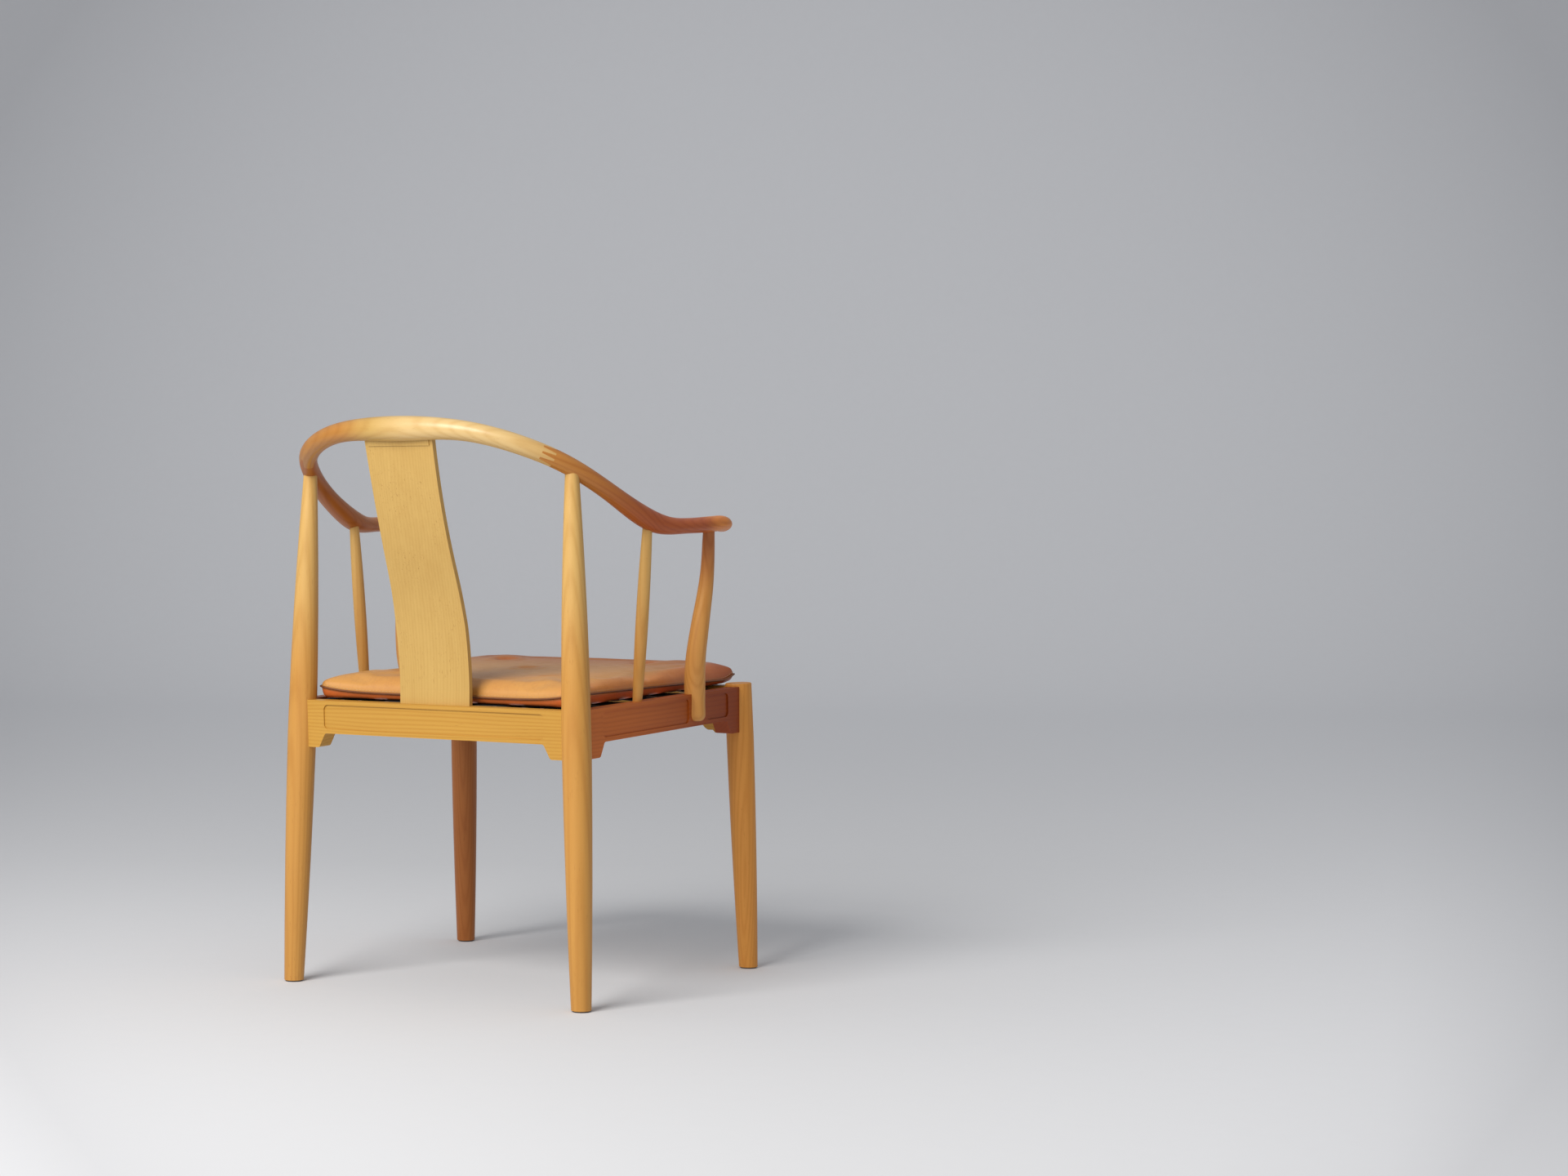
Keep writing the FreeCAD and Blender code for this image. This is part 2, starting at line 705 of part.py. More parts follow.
def side_tenon(name, side, at_front):
    """A tenon on one end of a side rail."""
    stop = size["side_tenon_stop"]
    start = side_length - stop - tenon_length if at_front else stop
    along = start.value if side > 0 else -(start + tenon_length).value
    across = -(size["rail_thickness"] + size["tenon_thickness"]).value / 2
    own = Placement(Vector(along, across, tenon_level.value), Rotation())
    end = "front" if at_front else "rear"
    return block(f"side_tenon_{end}_{name}", tenon_length, size["tenon_thickness"],
                 size["tenon_height"], side_planks[name].Placement.multiply(own))


rear_tenons = {name: cross_tenon(f"rear_tenon_{name}", rear_axis_x, tenon_inset, side)
               for name, side in SIDES}
front_tenons = {name: cross_tenon(f"front_tenon_{name}", size["front_top_x"],
                                  -seat_run - tenon_inset - size["tenon_thickness"], side)
                for name, side in SIDES}
side_tenons = {(name, end): side_tenon(name, side, end == "front")
               for name, side in SIDES for end in ("rear", "front")}


# Splat: a board bent to an S in its side view, with a tongue at each end.
splat_lean_shares = (0.0, 0.098, 0.353, 0.720, 1.0)
splat_thickness_shares = (1.0, 1.015, 1.06, 1.045, 1.025)


def splat_board():
    """The S-shaped board, drawn from the side and padded across the chair."""
    body = new_body("splat_board")
    sketch = new_sketch(body, "YZ_Plane")
    lean = size["splat_top_y"] - size["splat_foot_y"]
    heights = (size["splat_lower_height"],
               (size["splat_lower_height"] + size["splat_middle_height"]) / 2,
               size["splat_middle_height"],
               (size["splat_middle_height"] + size["splat_top_height"]) / 2,
               size["splat_top_height"])
    low, first, middle, second, top = [
        (size["splat_foot_y"] + lean * share, height)
        for share, height in zip(splat_lean_shares, heights)]
    foot = (size["splat_foot_y"], size["rear_seat_height"] - size["overrun"])
    thick = [size["splat_thickness"] * share for share in splat_thickness_shares]
    front = [(place - depth, height) for (place, height), depth
             in zip((low, first, middle, second, top), thick)]
    corners = [foot, low, middle, top, front[4], front[2], front[0],
               (foot[0] - size["splat_thickness"], foot[1])]
    bulges = {1: first, 2: second, 4: front[3], 5: front[1]}
    draw_outline(sketch, corners, bulges)
    pad(body, sketch, size["splat_width"], midplane=True)
    return body


splat_lean = math.degrees(math.atan2(
    ((size["splat_top_y"] - size["splat_foot_y"]) * (1.0 - splat_lean_shares[3])).value,
    ((size["splat_top_height"] - size["splat_middle_height"]) / 2).value))
tongue_width = size["splat_width"] - size["tongue_margin"] * 2
tongue_side = (size["splat_thickness"] - size["tongue_thickness"]) / 2
board = splat_board()
top_tongue = block(
    "splat_top_tongue", tongue_width, size["tongue_thickness"], size["tongue_depth"] * 2,
    Placement(Vector(-tongue_width.value / 2,
                     (size["splat_top_y"] - tongue_side - size["tongue_thickness"]).value,
                     (size["splat_top_height"] - size["tongue_depth"]).value),
              Rotation(ALONG_X, -splat_lean)))
foot_tongue = block(
    "splat_foot_tongue", tongue_width, size["tongue_thickness"], size["tongue_depth"] * 2,
    Placement(Vector(-tongue_width.value / 2,
                     (size["splat_foot_y"] - tongue_side - size["tongue_thickness"]).value,
                     (size["rear_seat_height"] - size["tongue_depth"]).value), Rotation()))


def splat_face():
    """The splat's outline from behind: slightly waisted below the crest."""
    body = new_body("splat_face")
    sketch = new_sketch(body, "XZ_Plane")
    foot = size["rear_seat_height"] - size["overrun"]
    half, waist, top = [size[name] / 2 for name in ("splat_width", "splat_waist", "splat_top_width")]
    straight = size["splat_straight_height"]
    corners = [(half, foot), (half, straight), (top, size["splat_top_height"]),
               (-top, size["splat_top_height"]), (-half, straight), (-half, foot)]
    bulges = {1: (waist, size["splat_waist_height"]), 3: (-waist, size["splat_waist_height"])}
    draw_outline(sketch, corners, bulges)
    pad(body, sketch, size["arm_run"] * 2, midplane=True)
    return body


shaped_board = document.addObject("Part::Common", "splat_shaped")
shaped_board.Base = board
shaped_board.Tool = splat_face()
splat_coped = cut("splat", shaped_board, horseshoe, rear_plank)
finish("splat", join("splat", splat_coped, top_tongue, foot_tongue))


# Arm spindles: cigar-shaped, with one round tenon right through from rail to arm.
def point_on_side_rail(side, along, depth, up):
    """A point of a side rail, measured from its outer face."""
    plank = side_planks["left" if side > 0 else "right"]
    return plank.Placement.multVec(Vector(along * side, -depth, up))


def spindle(name, side):
    foot = point_on_side_rail(side, size["spindle_distance"].value,
                              size["spindle_axis_depth"].value, 0)
    crown = point_of(mirrored(station(spindle_station), side))
    _tangent, sideways, _upward = section_axes(rail_curve, spindle_station * side)
    inward = sideways if sideways.x * side < 0 else -sideways
    crown = crown + inward * size["spindle_inset"].value
    run = (crown - foot).Length
    placement = upright_at(foot, crown)
    length = Size(run, repr(run))
    start = -size["overrun"] / 2
    stop = length - size["overrun"] / 2
    end = size["spindle_end_radius"]
    shaft = turned(f"spindle_shaft_{name}",
                   [(NOTHING, start), (end, start), (end, stop), (NOTHING, stop)],
                   {1: (size["spindle_belly_radius"], (start + stop) / 2)}, placement)
    depth = size["round_tenon_depth"]
    tenon_place = placement.multiply(Placement(Vector(0, 0, -depth.value - depth.value / 2), Rotation()))
    tenon = rod(f"spindle_tenon_{name}", size["round_tenon_radius"],
                length + depth + depth / 2, tenon_place)
    trimmed = cut(f"spindle_{name}", shaft, horseshoe, side_planks[name])
    finish(f"arm_spindle_{name}", join(f"arm_spindle_{name}", trimmed, tenon))
    return tenon


spindle_tenons = {name: spindle(name, side) for name, side in SIDES}


# Front arm posts: bent shafts that stand on a side rail with half their thickness, while
# the other half laps down over its outer face to a round nose.
post_height_shares = (0.0, 0.11, 0.24, 0.34, 0.43, 0.53, 0.62, 0.72, 0.82, 0.92, 1.0)
post_radius_shares = (1.0, 1.0, 0.95, 0.91, 0.86, 0.79, 0.73, 0.66, 0.615, 0.575, 0.555)
post_bow_shares = (0.0, 0.60, 0.78, 0.52, 0.20, -0.22, -0.55, -0.65, -0.45, -0.08, 0.0)
nose_drop_shares = (1.0, 0.97, 0.86, 0.66, 0.40, 0.0)
nose_radius_shares = (0.15, 0.45, 0.75, 0.92, 1.0, 1.0)


def arm_post(name, side):
    foot = point_on_side_rail(side, size["arm_post_distance"].value,
                              size["arm_post_axis_depth"].value, 0)
    nose = point_on_side_rail(side, size["arm_post_distance"].value,
                              size["arm_post_axis_depth"].value, -size["arm_post_nose"].value)
    crown = point_of(mirrored(station(arm_post_station), side))
    run = crown - foot
    radius = size["arm_post_radius"].value
    middles, radii = [], []
    for drop, share in zip(nose_drop_shares, nose_radius_shares):
        middles.append(foot + (nose - foot) * (1 - radius / size["arm_post_nose"].value
                                               + drop * radius / size["arm_post_nose"].value))
        radii.append(radius * share)
    for height, share, bow in zip(post_height_shares, post_radius_shares, post_bow_shares):
        middles.append(foot + run * height + ALONG_Y * (size["arm_post_bow"].value * bow))
        radii.append(radius * share)
    sections = [oval(middle, ALONG_X * wide, ALONG_Y * wide)
                for middle, wide in zip(middles, radii)]
    shaft = solid_feature(f"arm_post_shaft_{name}", Part.makeLoft(sections, True, False))
    lean = upright_at(middles[-2], middles[-1])
    reach = (middles[-1] - middles[-2]).Length
    tenon = rod(f"arm_post_tenon_{name}", size["round_tenon_radius"],
                size["overrun"] * 2 + size["round_tenon_depth"] / 3,
                lean.multiply(Placement(Vector(0, 0, reach - 2 * size["overrun"].value), Rotation())))
    trimmed = cut(f"arm_post_{name}", shaft, horseshoe, side_planks[name])
    return join(f"arm_post_{name}", trimmed, tenon), tenon


arm_posts = {name: arm_post(name, side) for name, side in SIDES}


# Corner blocks, glued and screwed inside the four corners under the straps.
def seat_corner(side, at_front):
    """The inner corner of the seat frame and the directions of its two rails."""
    plank = seat_frame.inverse().multiply(side_planks["left" if side > 0 else "right"].Placement)
    inner = -size["rail_thickness"].value
    along = plank.Rotation.multVec(ALONG_X) * side
    start = plank.multVec(Vector(0, inner, 0))
    if at_front:
        back = (size["rail_thickness"] - size["rear_rail_offset"] - seat_run).value
        direction = -along
    else:
        back = (size["rear_rail_offset"] - size["rail_thickness"]).value
        direction = along
    corner = start + along * ((back - start.y) / along.y)
    return Vector(corner.x, corner.y, 0), direction


screws = []
blocks = {}
for side_name, side in SIDES:
    for end in ("rear", "front"):
        corner, along = seat_corner(side, end == "front")
        across = Vector(-side, 0, 0)
        near, far = size["block_near"].value, size["block_far"].value
        outline = [corner + across * near, corner + across * far,
                   corner + along * far, corner + along * near]
        lift = (-size["block_drop"] - size["block_height"]).value
        wire = Part.makePolygon([point + UP * lift for point in outline + outline[:1]])
        name = f"corner_block_{end}_{side_name}"
        shape = Part.Face(wire).extrude(UP * size["block_height"].value)
        raw = solid_feature(name + "_raw", shape)
        raw.Placement = seat_frame
        blocks[name] = raw
        level = UP * (lift + size["block_height"].value / 2)
        inward = (outline[0] + outline[3] - outline[1] - outline[2]).normalize()
        middle = (near + far) / 2
        for direction, tangent in ((across, along), (along, across)):
            # Each screw goes square into one rail, from the block's open face.
            aim = -tangent + direction * direction.dot(tangent)
            aim.normalize()
            entry = corner + direction * middle + tangent * (far - middle)
            own = Placement(entry + level, Rotation(UP, aim))
            head = rod(f"screw_head_{len(screws)}", size["screw_head_radius"],
                       size["screw_head_height"], seat_frame.multiply(own))
            shank = rod(f"screw_shank_{len(screws)}", size["screw_radius"],
                        size["screw_length"], seat_frame.multiply(own))
            screws.append((name, join(f"screw_{len(screws)}", head, shank)))

all_screws = finish("frame_screws", gather("frame_screws", [screw for _name, screw in screws]))
for name, raw in blocks.items():
    finish(name, cut(name, raw, *[screw for owner, screw in screws if owner == name]))

# Webbing: five straps each way, tacked into the rebates.
strap_numbers = (-2, -1, 0, 1, 2)
tacks = {}
seat_back = size["rear_rail_offset"] - size["rail_thickness"]
seat_front = -seat_run - size["rear_rail_offset"] + size["rail_thickness"]
bearing = size["rebate_width"] - size["strap_end_gap"]
inner_slope = math.tan(math.radians(side_skew))
inner_face_x = rear_axis_x + size["side_rail_offset"] - size["rail_thickness"]


def tack(name, across, back, top):
    """A tack whose head is pressed level with the strap."""
    head_place = on_seat(across, back, top - size["tack_head_thickness"])
    shank_place = on_seat(across, back, top - size["tack_length"])
    head = rod(f"{name}_head", size["tack_head_radius"], size["tack_head_thickness"], head_place)
    shank = rod(f"{name}_shank", size["tack_shank_radius"],
                size["tack_length"] - size["tack_head_thickness"] / 2, shank_place)
    return join(name, head, shank)


def strap(name, length, width, across, back, base, tack_places):
    """One strap, holed for its tacks."""
    raw = block(f"{name}_raw", length, width, size["strap_thickness"],
                on_seat(across - length / 2, back - width / 2, base))
    own = [tack(f"{name}_tack_{number}", place[0], place[1], base + size["strap_thickness"])
           for number, place in enumerate(tack_places)]
    finish(name, cut(name, raw, *own))
    return own


strap_middle = (seat_back + seat_front) / 2
long_length = seat_back - seat_front + bearing * 2
tack_line = bearing / 2
for count, number in enumerate(strap_numbers, start=1):
    across = size["strap_pitch"] * number
    half = size["tack_spacing"] / 2
    ends = (seat_back + tack_line, seat_front - tack_line)
    places = [(across + half * turn, end) for end in ends for turn in (-1, 1)]
    name = f"long_strap_{count}"
    tacks[name] = strap(name, size["strap_width"], long_length, across, strap_middle,
                        long_strap_base, places)
    back = strap_middle + size["strap_pitch"] * number
    rear_edge = back + size["strap_width"] / 2
    reach = inner_face_x - rear_edge * inner_slope + bearing
    rail_line = reach - tack_line
    places = [(rail_line * turn, back + half * step) for turn in (-1, 1) for step in (-1, 1)]
    name = f"cross_strap_{count}"
    tacks[name] = strap(name, reach * 2, size["strap_width"], NOTHING, back,
                        cross_strap_base, places)
all_tacks = finish("strap_tacks", gather("strap_tacks", [one for own in tacks.values() for one in own]))
long_tacks = gather("long_tacks", [one for name, own in tacks.items() if name[0] == "l" for one in own])
cross_tacks = gather("cross_tacks", [one for name, own in tacks.items() if name[0] == "c" for one in own])

# The rails as they are fitted: coped to the round legs, tenoned, mortised and holed.
rear_coped = cut("rear_rail", rear_plank, rear_shafts["left"], rear_shafts["right"])
rear_whole = join("rear_rail", rear_coped, rear_tenons["left"], rear_tenons["right"])
finish("rear_rail", cut("rear_rail_fitted", rear_whole, foot_tongue, all_screws, long_tacks))
front_coped = cut("front_rail", front_plank, front_shafts["left"], front_shafts["right"])
front_whole = join("front_rail", front_coped, front_tenons["left"], front_tenons["right"])
finish("front_rail", cut("front_rail_fitted", front_whole, all_screws, long_tacks))
for name, side in SIDES:
    coped = cut(f"side_rail_{name}", side_planks[name], rear_shafts[name], front_shafts[name],
                rear_plank, front_plank)
    whole = join(f"side_rail_{name}", coped, side_tenons[(name, "rear")], side_tenons[(name, "front")])
    finish(f"side_rail_{name}", cut(f"side_rail_fitted_{name}", whole, spindle_tenons[name],
                                    all_screws, cross_tacks))
    finish(f"arm_post_{name}", arm_posts[name][0])

    # Rear post: level foot, saddle under the arm, round tenon above, mortises for two rails.
    shaft = rear_shafts[name]
    lean = shaft.Placement
    top = distance(name, rear_foot, rear_top)
    start = top - size["overrun"] * 4
    post_tenon = rod(f"post_tenon_{name}", size["round_tenon_radius"],
                     size["overrun"] * 4 + size["round_tenon_depth"] / 3,
                     lean.multiply(Placement(Vector(0, 0, start.value), Rotation())))
    coped = cut(f"rear_post_{name}", shaft, horseshoe)
    whole = join(f"rear_post_{name}", coped, post_tenon)
    finish(f"rear_post_{name}", cut(f"rear_post_fitted_{name}", whole, ground,
                                    glides["rear_" + name], rear_tenons[name],
                                    side_tenons[(name, "rear")]))
    finish(f"front_leg_{name}", cut(f"front_leg_fitted_{name}", front_shafts[name], ground,
                                    glides["front_" + name], front_tenons[name],
                                    side_tenons[(name, "front")]))

    # Arm: everything past the finger joint, bored for its three tenons.
    arm = document.addObject("Part::Common", f"arm_blank_{name}")
    arm.Base = horseshoe
    arm.Tool = arm_cutters[name]
    finish(f"arm_{name}", cut(f"arm_{name}", arm, post_tenon, spindle_tenons[name],
                              arm_posts[name][1]))
finish("crest_rail", cut("crest_rail", horseshoe, arm_cutters["left"], arm_cutters["right"],
                         top_tongue))

# Seat cushion: two sewn leather panels that meet in a welt, crowned, drawn in along the
# sides and pulled down at five tufts, over a soft pad.
# Shares of the height, each with its share of the inset from the seam.
foot_shares = ((0.0, 1.0), (0.12, 0.62), (0.45, 0.20), (1.0, 0.0))
crown_shares = ((0.0, 0.0), (0.30, 0.03), (0.58, 0.10), (0.80, 0.24), (0.93, 0.48), (0.98, 0.75), (1.0, 1.0))
corner_turn_share = 0.45


def cushion_ring(level, inset, shrink):
    """One level outline of the cushion: drawn-in sides between round corners."""
    inset = inset + shrink
    rear_half = size["cushion_rear_half"].value - inset
    front_half = size["cushion_front_half"].value - inset
    rear = (size["cushion_rear_y"] - rear_axis_y).value - inset
    front = (size["cushion_front_y"] - rear_axis_y).value + inset
    side_draw = size["cushion_side_draw"].value
    end_draw = size["cushion_end_draw"].value
    turn = size["cushion_corner_round"].value
    corners = [Vector(-rear_half, rear, level), Vector(rear_half, rear, level),
               Vector(front_half, front, level), Vector(-front_half, front, level)]
    inward = [Vector(0, -end_draw, 0), Vector(-side_draw, 0, 0),
              Vector(0, end_draw, 0), Vector(side_draw, 0, 0)]
    edges = []
    cuts = []
    for index, corner in enumerate(corners):
        after = corners[(index + 1) % 4]
        along = (after - corner).normalize()
        cuts.append((corner + along * turn, after - along * turn))
    for index, corner in enumerate(corners):
        start, stop = cuts[index]
        middle = (start + stop) / 2 + inward[index]
        edges.append(Part.Arc(start, middle, stop).toShape())
        next_start = cuts[(index + 1) % 4][0]
        point = corners[(index + 1) % 4]
        chord = (stop + next_start) / 2
        edges.append(Part.Arc(stop, chord + (point - chord) * corner_turn_share, next_start).toShape())
    return Part.Wire(edges)


def cushion_blank(shrink):
    """The pillow shape, a given distance inside the leather's outer face."""
    base = size["cushion_clearance"].value + shrink
    seam = size["cushion_seam_height"].value
    crown = size["cushion_height"].value - shrink
    foot = size["cushion_foot_inset"].value
    inset = size["cushion_edge_inset"].value
    lower = [cushion_ring(base + (seam - base) * level, foot * share, shrink)
             for level, share in foot_shares]
    upper = [cushion_ring(seam + (crown - seam) * level, inset * share, shrink)
             for level, share in crown_shares]
    low_half = Part.makeLoft(lower, True, False)
    high_half = Part.makeLoft(upper, True, False)
    shape = low_half.fuse(high_half).removeSplitter()
    radius = size["tuft_radius"].value + shrink
    bottom = (size["cushion_height"] - size["tuft_depth"]).value - shrink
    for across, back in tuft_places:
        ball = Part.makeSphere(radius, Vector(across, back, bottom + radius))
        shape = shape.cut(ball)
    return shape


cushion_middle = (size["cushion_rear_y"] + size["cushion_front_y"]) / 2 - rear_axis_y
tuft_places = [(0.0, cushion_middle.value)]
for turn in (-1, 1):
    for step in (-1, 1):
        tuft_places.append((size["tuft_side"].value * turn,
                            cushion_middle.value + size["tuft_end"].value * step))

outer = cushion_blank(0.0)
hollow = cushion_blank(size["leather_thickness"].value)
filling = cushion_blank((size["leather_thickness"] + size["pad_clearance"]).value)
cover = finish("cushion_cover", solid_feature("cushion_cover", outer.cut(hollow)))
padding = finish("cushion_pad", solid_feature("cushion_pad", filling))

# The welt is a round cord of leather laid over the seam where the two panels meet.
SIDE_POINTS = 10
CORNER_POINTS = 4


def welt_cord():
    """A round cord along the seam, with its corners smoothed."""
    ring = cushion_ring(size["cushion_seam_height"].value, -size["welt_standoff"].value, 0.0)
    points = []
    for number, edge in enumerate(ring.OrderedEdges):
        count = SIDE_POINTS if number % 2 == 0 else CORNER_POINTS
        span = edge.LastParameter - edge.FirstParameter
        points += [edge.valueAt(edge.FirstParameter + span * (step + 0.5) / count)
                   for step in range(count)]
    path = Part.BSplineCurve()
    path.interpolate(Points=points, PeriodicFlag=True)
    start = path.FirstParameter
    circle = Part.makeCircle(size["welt_radius"].value, path.value(start), path.tangent(start)[0])
    return Part.Wire([path.toShape()]).makePipeShell([Part.Wire([circle])], True, False)


welt = finish("cushion_welt", solid_feature("cushion_welt", welt_cord().cut(outer)))
for soft in (cover, padding, welt):
    soft.Placement = seat_frame


def check_and_write():
    """Stop on any failed object or shape, then write one file for each piece."""
    document.recompute()
    for item in document.Objects:
        if "Invalid" in item.State or "Error" in item.State:
            raise RuntimeError(f"{item.Name} failed: {item.State}")
    os.makedirs("parts", exist_ok=True)
    for name, piece in sorted(pieces.items()):
        shape = piece.Shape
        if shape.isNull() or not shape.isValid():
            raise RuntimeError(f"{name} has no valid shape")
        if not shape.Solids:
            raise RuntimeError(f"{name} has no solid")
        shape.exportStep(f"parts/{name}.step")
        print(f"{name}: {len(shape.Solids)} solids, {shape.Volume:.1f} mm3")


check_and_write()
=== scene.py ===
"""Horseshoe back armchair in honey-coloured wood, seen from behind and to one side."""
import math

import bmesh
import bpy
from mathutils import Matrix, Vector


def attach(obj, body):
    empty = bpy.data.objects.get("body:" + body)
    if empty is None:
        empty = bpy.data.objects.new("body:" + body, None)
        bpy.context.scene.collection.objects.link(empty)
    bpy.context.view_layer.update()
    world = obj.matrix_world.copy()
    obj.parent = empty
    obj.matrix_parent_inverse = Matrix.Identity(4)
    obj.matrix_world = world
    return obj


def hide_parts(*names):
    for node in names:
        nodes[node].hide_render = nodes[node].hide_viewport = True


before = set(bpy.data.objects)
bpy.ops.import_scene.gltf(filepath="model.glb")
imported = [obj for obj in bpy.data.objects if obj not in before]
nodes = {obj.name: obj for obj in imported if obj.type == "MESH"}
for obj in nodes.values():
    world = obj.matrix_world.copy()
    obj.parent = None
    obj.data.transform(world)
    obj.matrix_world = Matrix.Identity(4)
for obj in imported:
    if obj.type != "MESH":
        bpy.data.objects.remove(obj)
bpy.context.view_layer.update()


# Rear posts: two turned hardwood posts, each from the floor up to the bent top rail.
# The grain runs along the post, so its sides show long streaks and pores. They are
# painted a little darker and redder below the seat: painted shade.
class Socket:
    """One output of a shader node. Arithmetic on it adds Math nodes."""

    def __init__(self, graph, output):
        self.graph = graph
        self.output = output

    def math(self, operation, *others):
        return self.graph.math(operation, self, *others)

    def __add__(self, other):
        return self.math("ADD", other)

    def __radd__(self, other):
        return self.math("ADD", other)

    def __sub__(self, other):
        return self.math("SUBTRACT", other)

    def __rsub__(self, other):
        return self.graph.math("SUBTRACT", other, self)

    def __mul__(self, other):
        return self.math("MULTIPLY", other)

    def __rmul__(self, other):
        return self.math("MULTIPLY", other)

    def __truediv__(self, other):
        return self.math("DIVIDE", other)

    def __pow__(self, other):
        return self.math("POWER", other)


class Graph:
    """The nodes of one material."""

    def __init__(self, name):
        self.material = bpy.data.materials.new(name)
        self.material.use_nodes = True
        self.tree = self.material.node_tree
        self.shader = self.tree.nodes["Principled BSDF"]

    def node(self, kind, settings=None, sockets=None, output=0):
        """Add a node, set its settings, then fill or link its sockets."""
        made = self.tree.nodes.new(kind)
        for name, value in (settings or {}).items():
            if name == "stops":
                self.set_stops(made.color_ramp, value)
            else:
                setattr(made, name, value)
        for key, value in (sockets or {}).items():
            if isinstance(value, Socket):
                self.tree.links.new(value.output, made.inputs[key])
            else:
                made.inputs[key].default_value = value
        return Socket(self, made.outputs[output])

    def set_stops(self, ramp, stops):
        while len(ramp.elements) < len(stops):
            ramp.elements.new(0.5)
        for element, (position, value) in zip(ramp.elements, stops):
            element.position = position
            element.color = (value, value, value, 1) if isinstance(value, float) else (*value, 1)

    def math(self, operation, *values):
        return self.node("ShaderNodeMath", {"operation": operation}, dict(enumerate(values)))

    def place(self):
        return self.node("ShaderNodeTexCoord", output="Object")

    def parts(self, vector):
        """The three parts of a vector."""
        split = self.node("ShaderNodeSeparateXYZ", None, {0: vector})
        return [Socket(self, output) for output in split.output.node.outputs]

    def join(self, across, depth, along):
        return self.node("ShaderNodeCombineXYZ", None, {0: across, 1: depth, 2: along})

    def mapped(self, vector, scale=(1, 1, 1), turn=(0, 0, 0), shift=(0, 0, 0)):
        sockets = {"Vector": vector, "Location": shift, "Rotation": turn, "Scale": scale}
        return self.node("ShaderNodeMapping", None, sockets)

    def noise(self, vector, scale, detail=2.0, roughness=0.5):
        sockets = {"Vector": vector, "Scale": scale, "Detail": detail, "Roughness": roughness}
        return self.node("ShaderNodeTexNoise", None, sockets)

    def ramp(self, value, *stops):
        return self.node("ShaderNodeValToRGB", {"stops": stops}, {"Fac": value})

    def mix(self, share, first, second, blend="MIX"):
        settings = {"data_type": "RGBA", "blend_type": blend, "clamp_factor": True}
        colours = [value if isinstance(value, Socket) else (*value, 1) for value in (first, second)]
        sockets = {0: share, 6: colours[0], 7: colours[1]}
        return self.node("ShaderNodeMix", settings, sockets, output=2)

    def bump(self, height, strength, distance):
        sockets = {"Height": height, "Strength": strength, "Distance": distance}
        return self.node("ShaderNodeBump", None, sockets)

    def finish(self, linked, fixed):
        """Fill the shader: linked sockets change over the surface, fixed ones don't."""
        for name, value in linked.items():
            self.tree.links.new(value.output, self.shader.inputs[name])
        for name, value in fixed.items():
            self.shader.inputs[name].default_value = value
        return self.material


ALONG_X = (0, math.radians(90), 0)
ALONG_Y = (math.radians(90), 0, 0)
ALONG_Z = (0, 0, 0)


def straight(turn, shift):
    """Grain that runs straight through a piece. The rings' centre lies at minus the shift."""
    return lambda graph: graph.mapped(graph.place(), turn=turn, shift=shift)


def towards(axis, start, stop, tint):
    """A colour change that grows along one axis, for a piece with a darker or paler end."""
    def change(graph, colour):
        place = graph.parts(graph.place())[axis]
        share = ((place - start) / (stop - start)).math("MAXIMUM", 0.0).math("MINIMUM", 1.0)
        return graph.mix(share * share * (3.0 - share * 2.0), colour, tint, "MULTIPLY")
    return change


def wood(name, pale, deep, grain, pores=0.4, figure=0.4, changes=(), coat=0.10):
    """Oiled hardwood. Its rings run along the grain, so end grain shows on cut ends."""
    graph = Graph(name)
    local = grain(graph)
    drift = graph.noise(graph.mapped(local, scale=(1, 1, 0.16)), 9.0) - 0.5
    across, depth, _along = graph.parts(local)
    across = across + drift * 0.034
    depth = depth + drift * 0.022
    radius = (across * across + depth * depth) ** 0.5
    rings = ((radius * (2 * math.pi / 0.0046)).math("SINE") * 0.5 + 0.5) ** 2.2
    broad = graph.noise(graph.mapped(local, scale=(1, 1, 0.2)), 20.0)
    veins = graph.noise(graph.mapped(local, scale=(1, 1, 0.035)), 130.0, 3.0, 0.55)
    streaks = graph.noise(graph.mapped(local, scale=(1, 1, 0.018)), 620.0, 3.0, 0.6)
    fibre = graph.noise(graph.mapped(local, scale=(1, 1, 0.05)), 1900.0, 1.0)
    dashes = graph.noise(graph.mapped(local, scale=(1, 1, 0.07)), 900.0, 1.0)
    flecks = graph.ramp(dashes, (0.66, 0.0), (0.76, 1.0))
    patchy = graph.ramp(graph.noise(local, 14.0), (0.42, 0.0), (0.62, 1.0))
    tone = rings * (0.42 * figure) + broad * 0.5 + veins * 0.55 + streaks * 0.3 - 0.34
    colour = graph.mix(tone, pale, deep)
    dark = tuple(channel * share for channel, share in zip(deep, (0.66, 0.52, 0.42)))
    colour = graph.mix(flecks * patchy * pores, colour, dark)
    knocks = graph.ramp(graph.noise(local, 210.0, 1.0), (0.79, 0.0), (0.83, 0.5))
    colour = graph.mix(knocks, colour, dark)
    for change in changes:
        colour = change(graph, colour)
    height = streaks * 0.6 + fibre * 0.3 - flecks * patchy * 0.5 - knocks
    linked = {
        "Base Color": colour,
        "Roughness": streaks * 0.14 + broad * 0.12 + 0.30,
        "Normal": graph.bump(height, 0.14, 0.0004),
    }
    fixed = {"Coat Weight": coat, "Coat Roughness": 0.28, "Specular IOR Level": 0.26}
    return graph.finish(linked, fixed)


def dress(name, material):
    """Give a CAD node its finish."""
    node = nodes[name]
    node.data.materials.clear()
    node.data.materials.append(material)


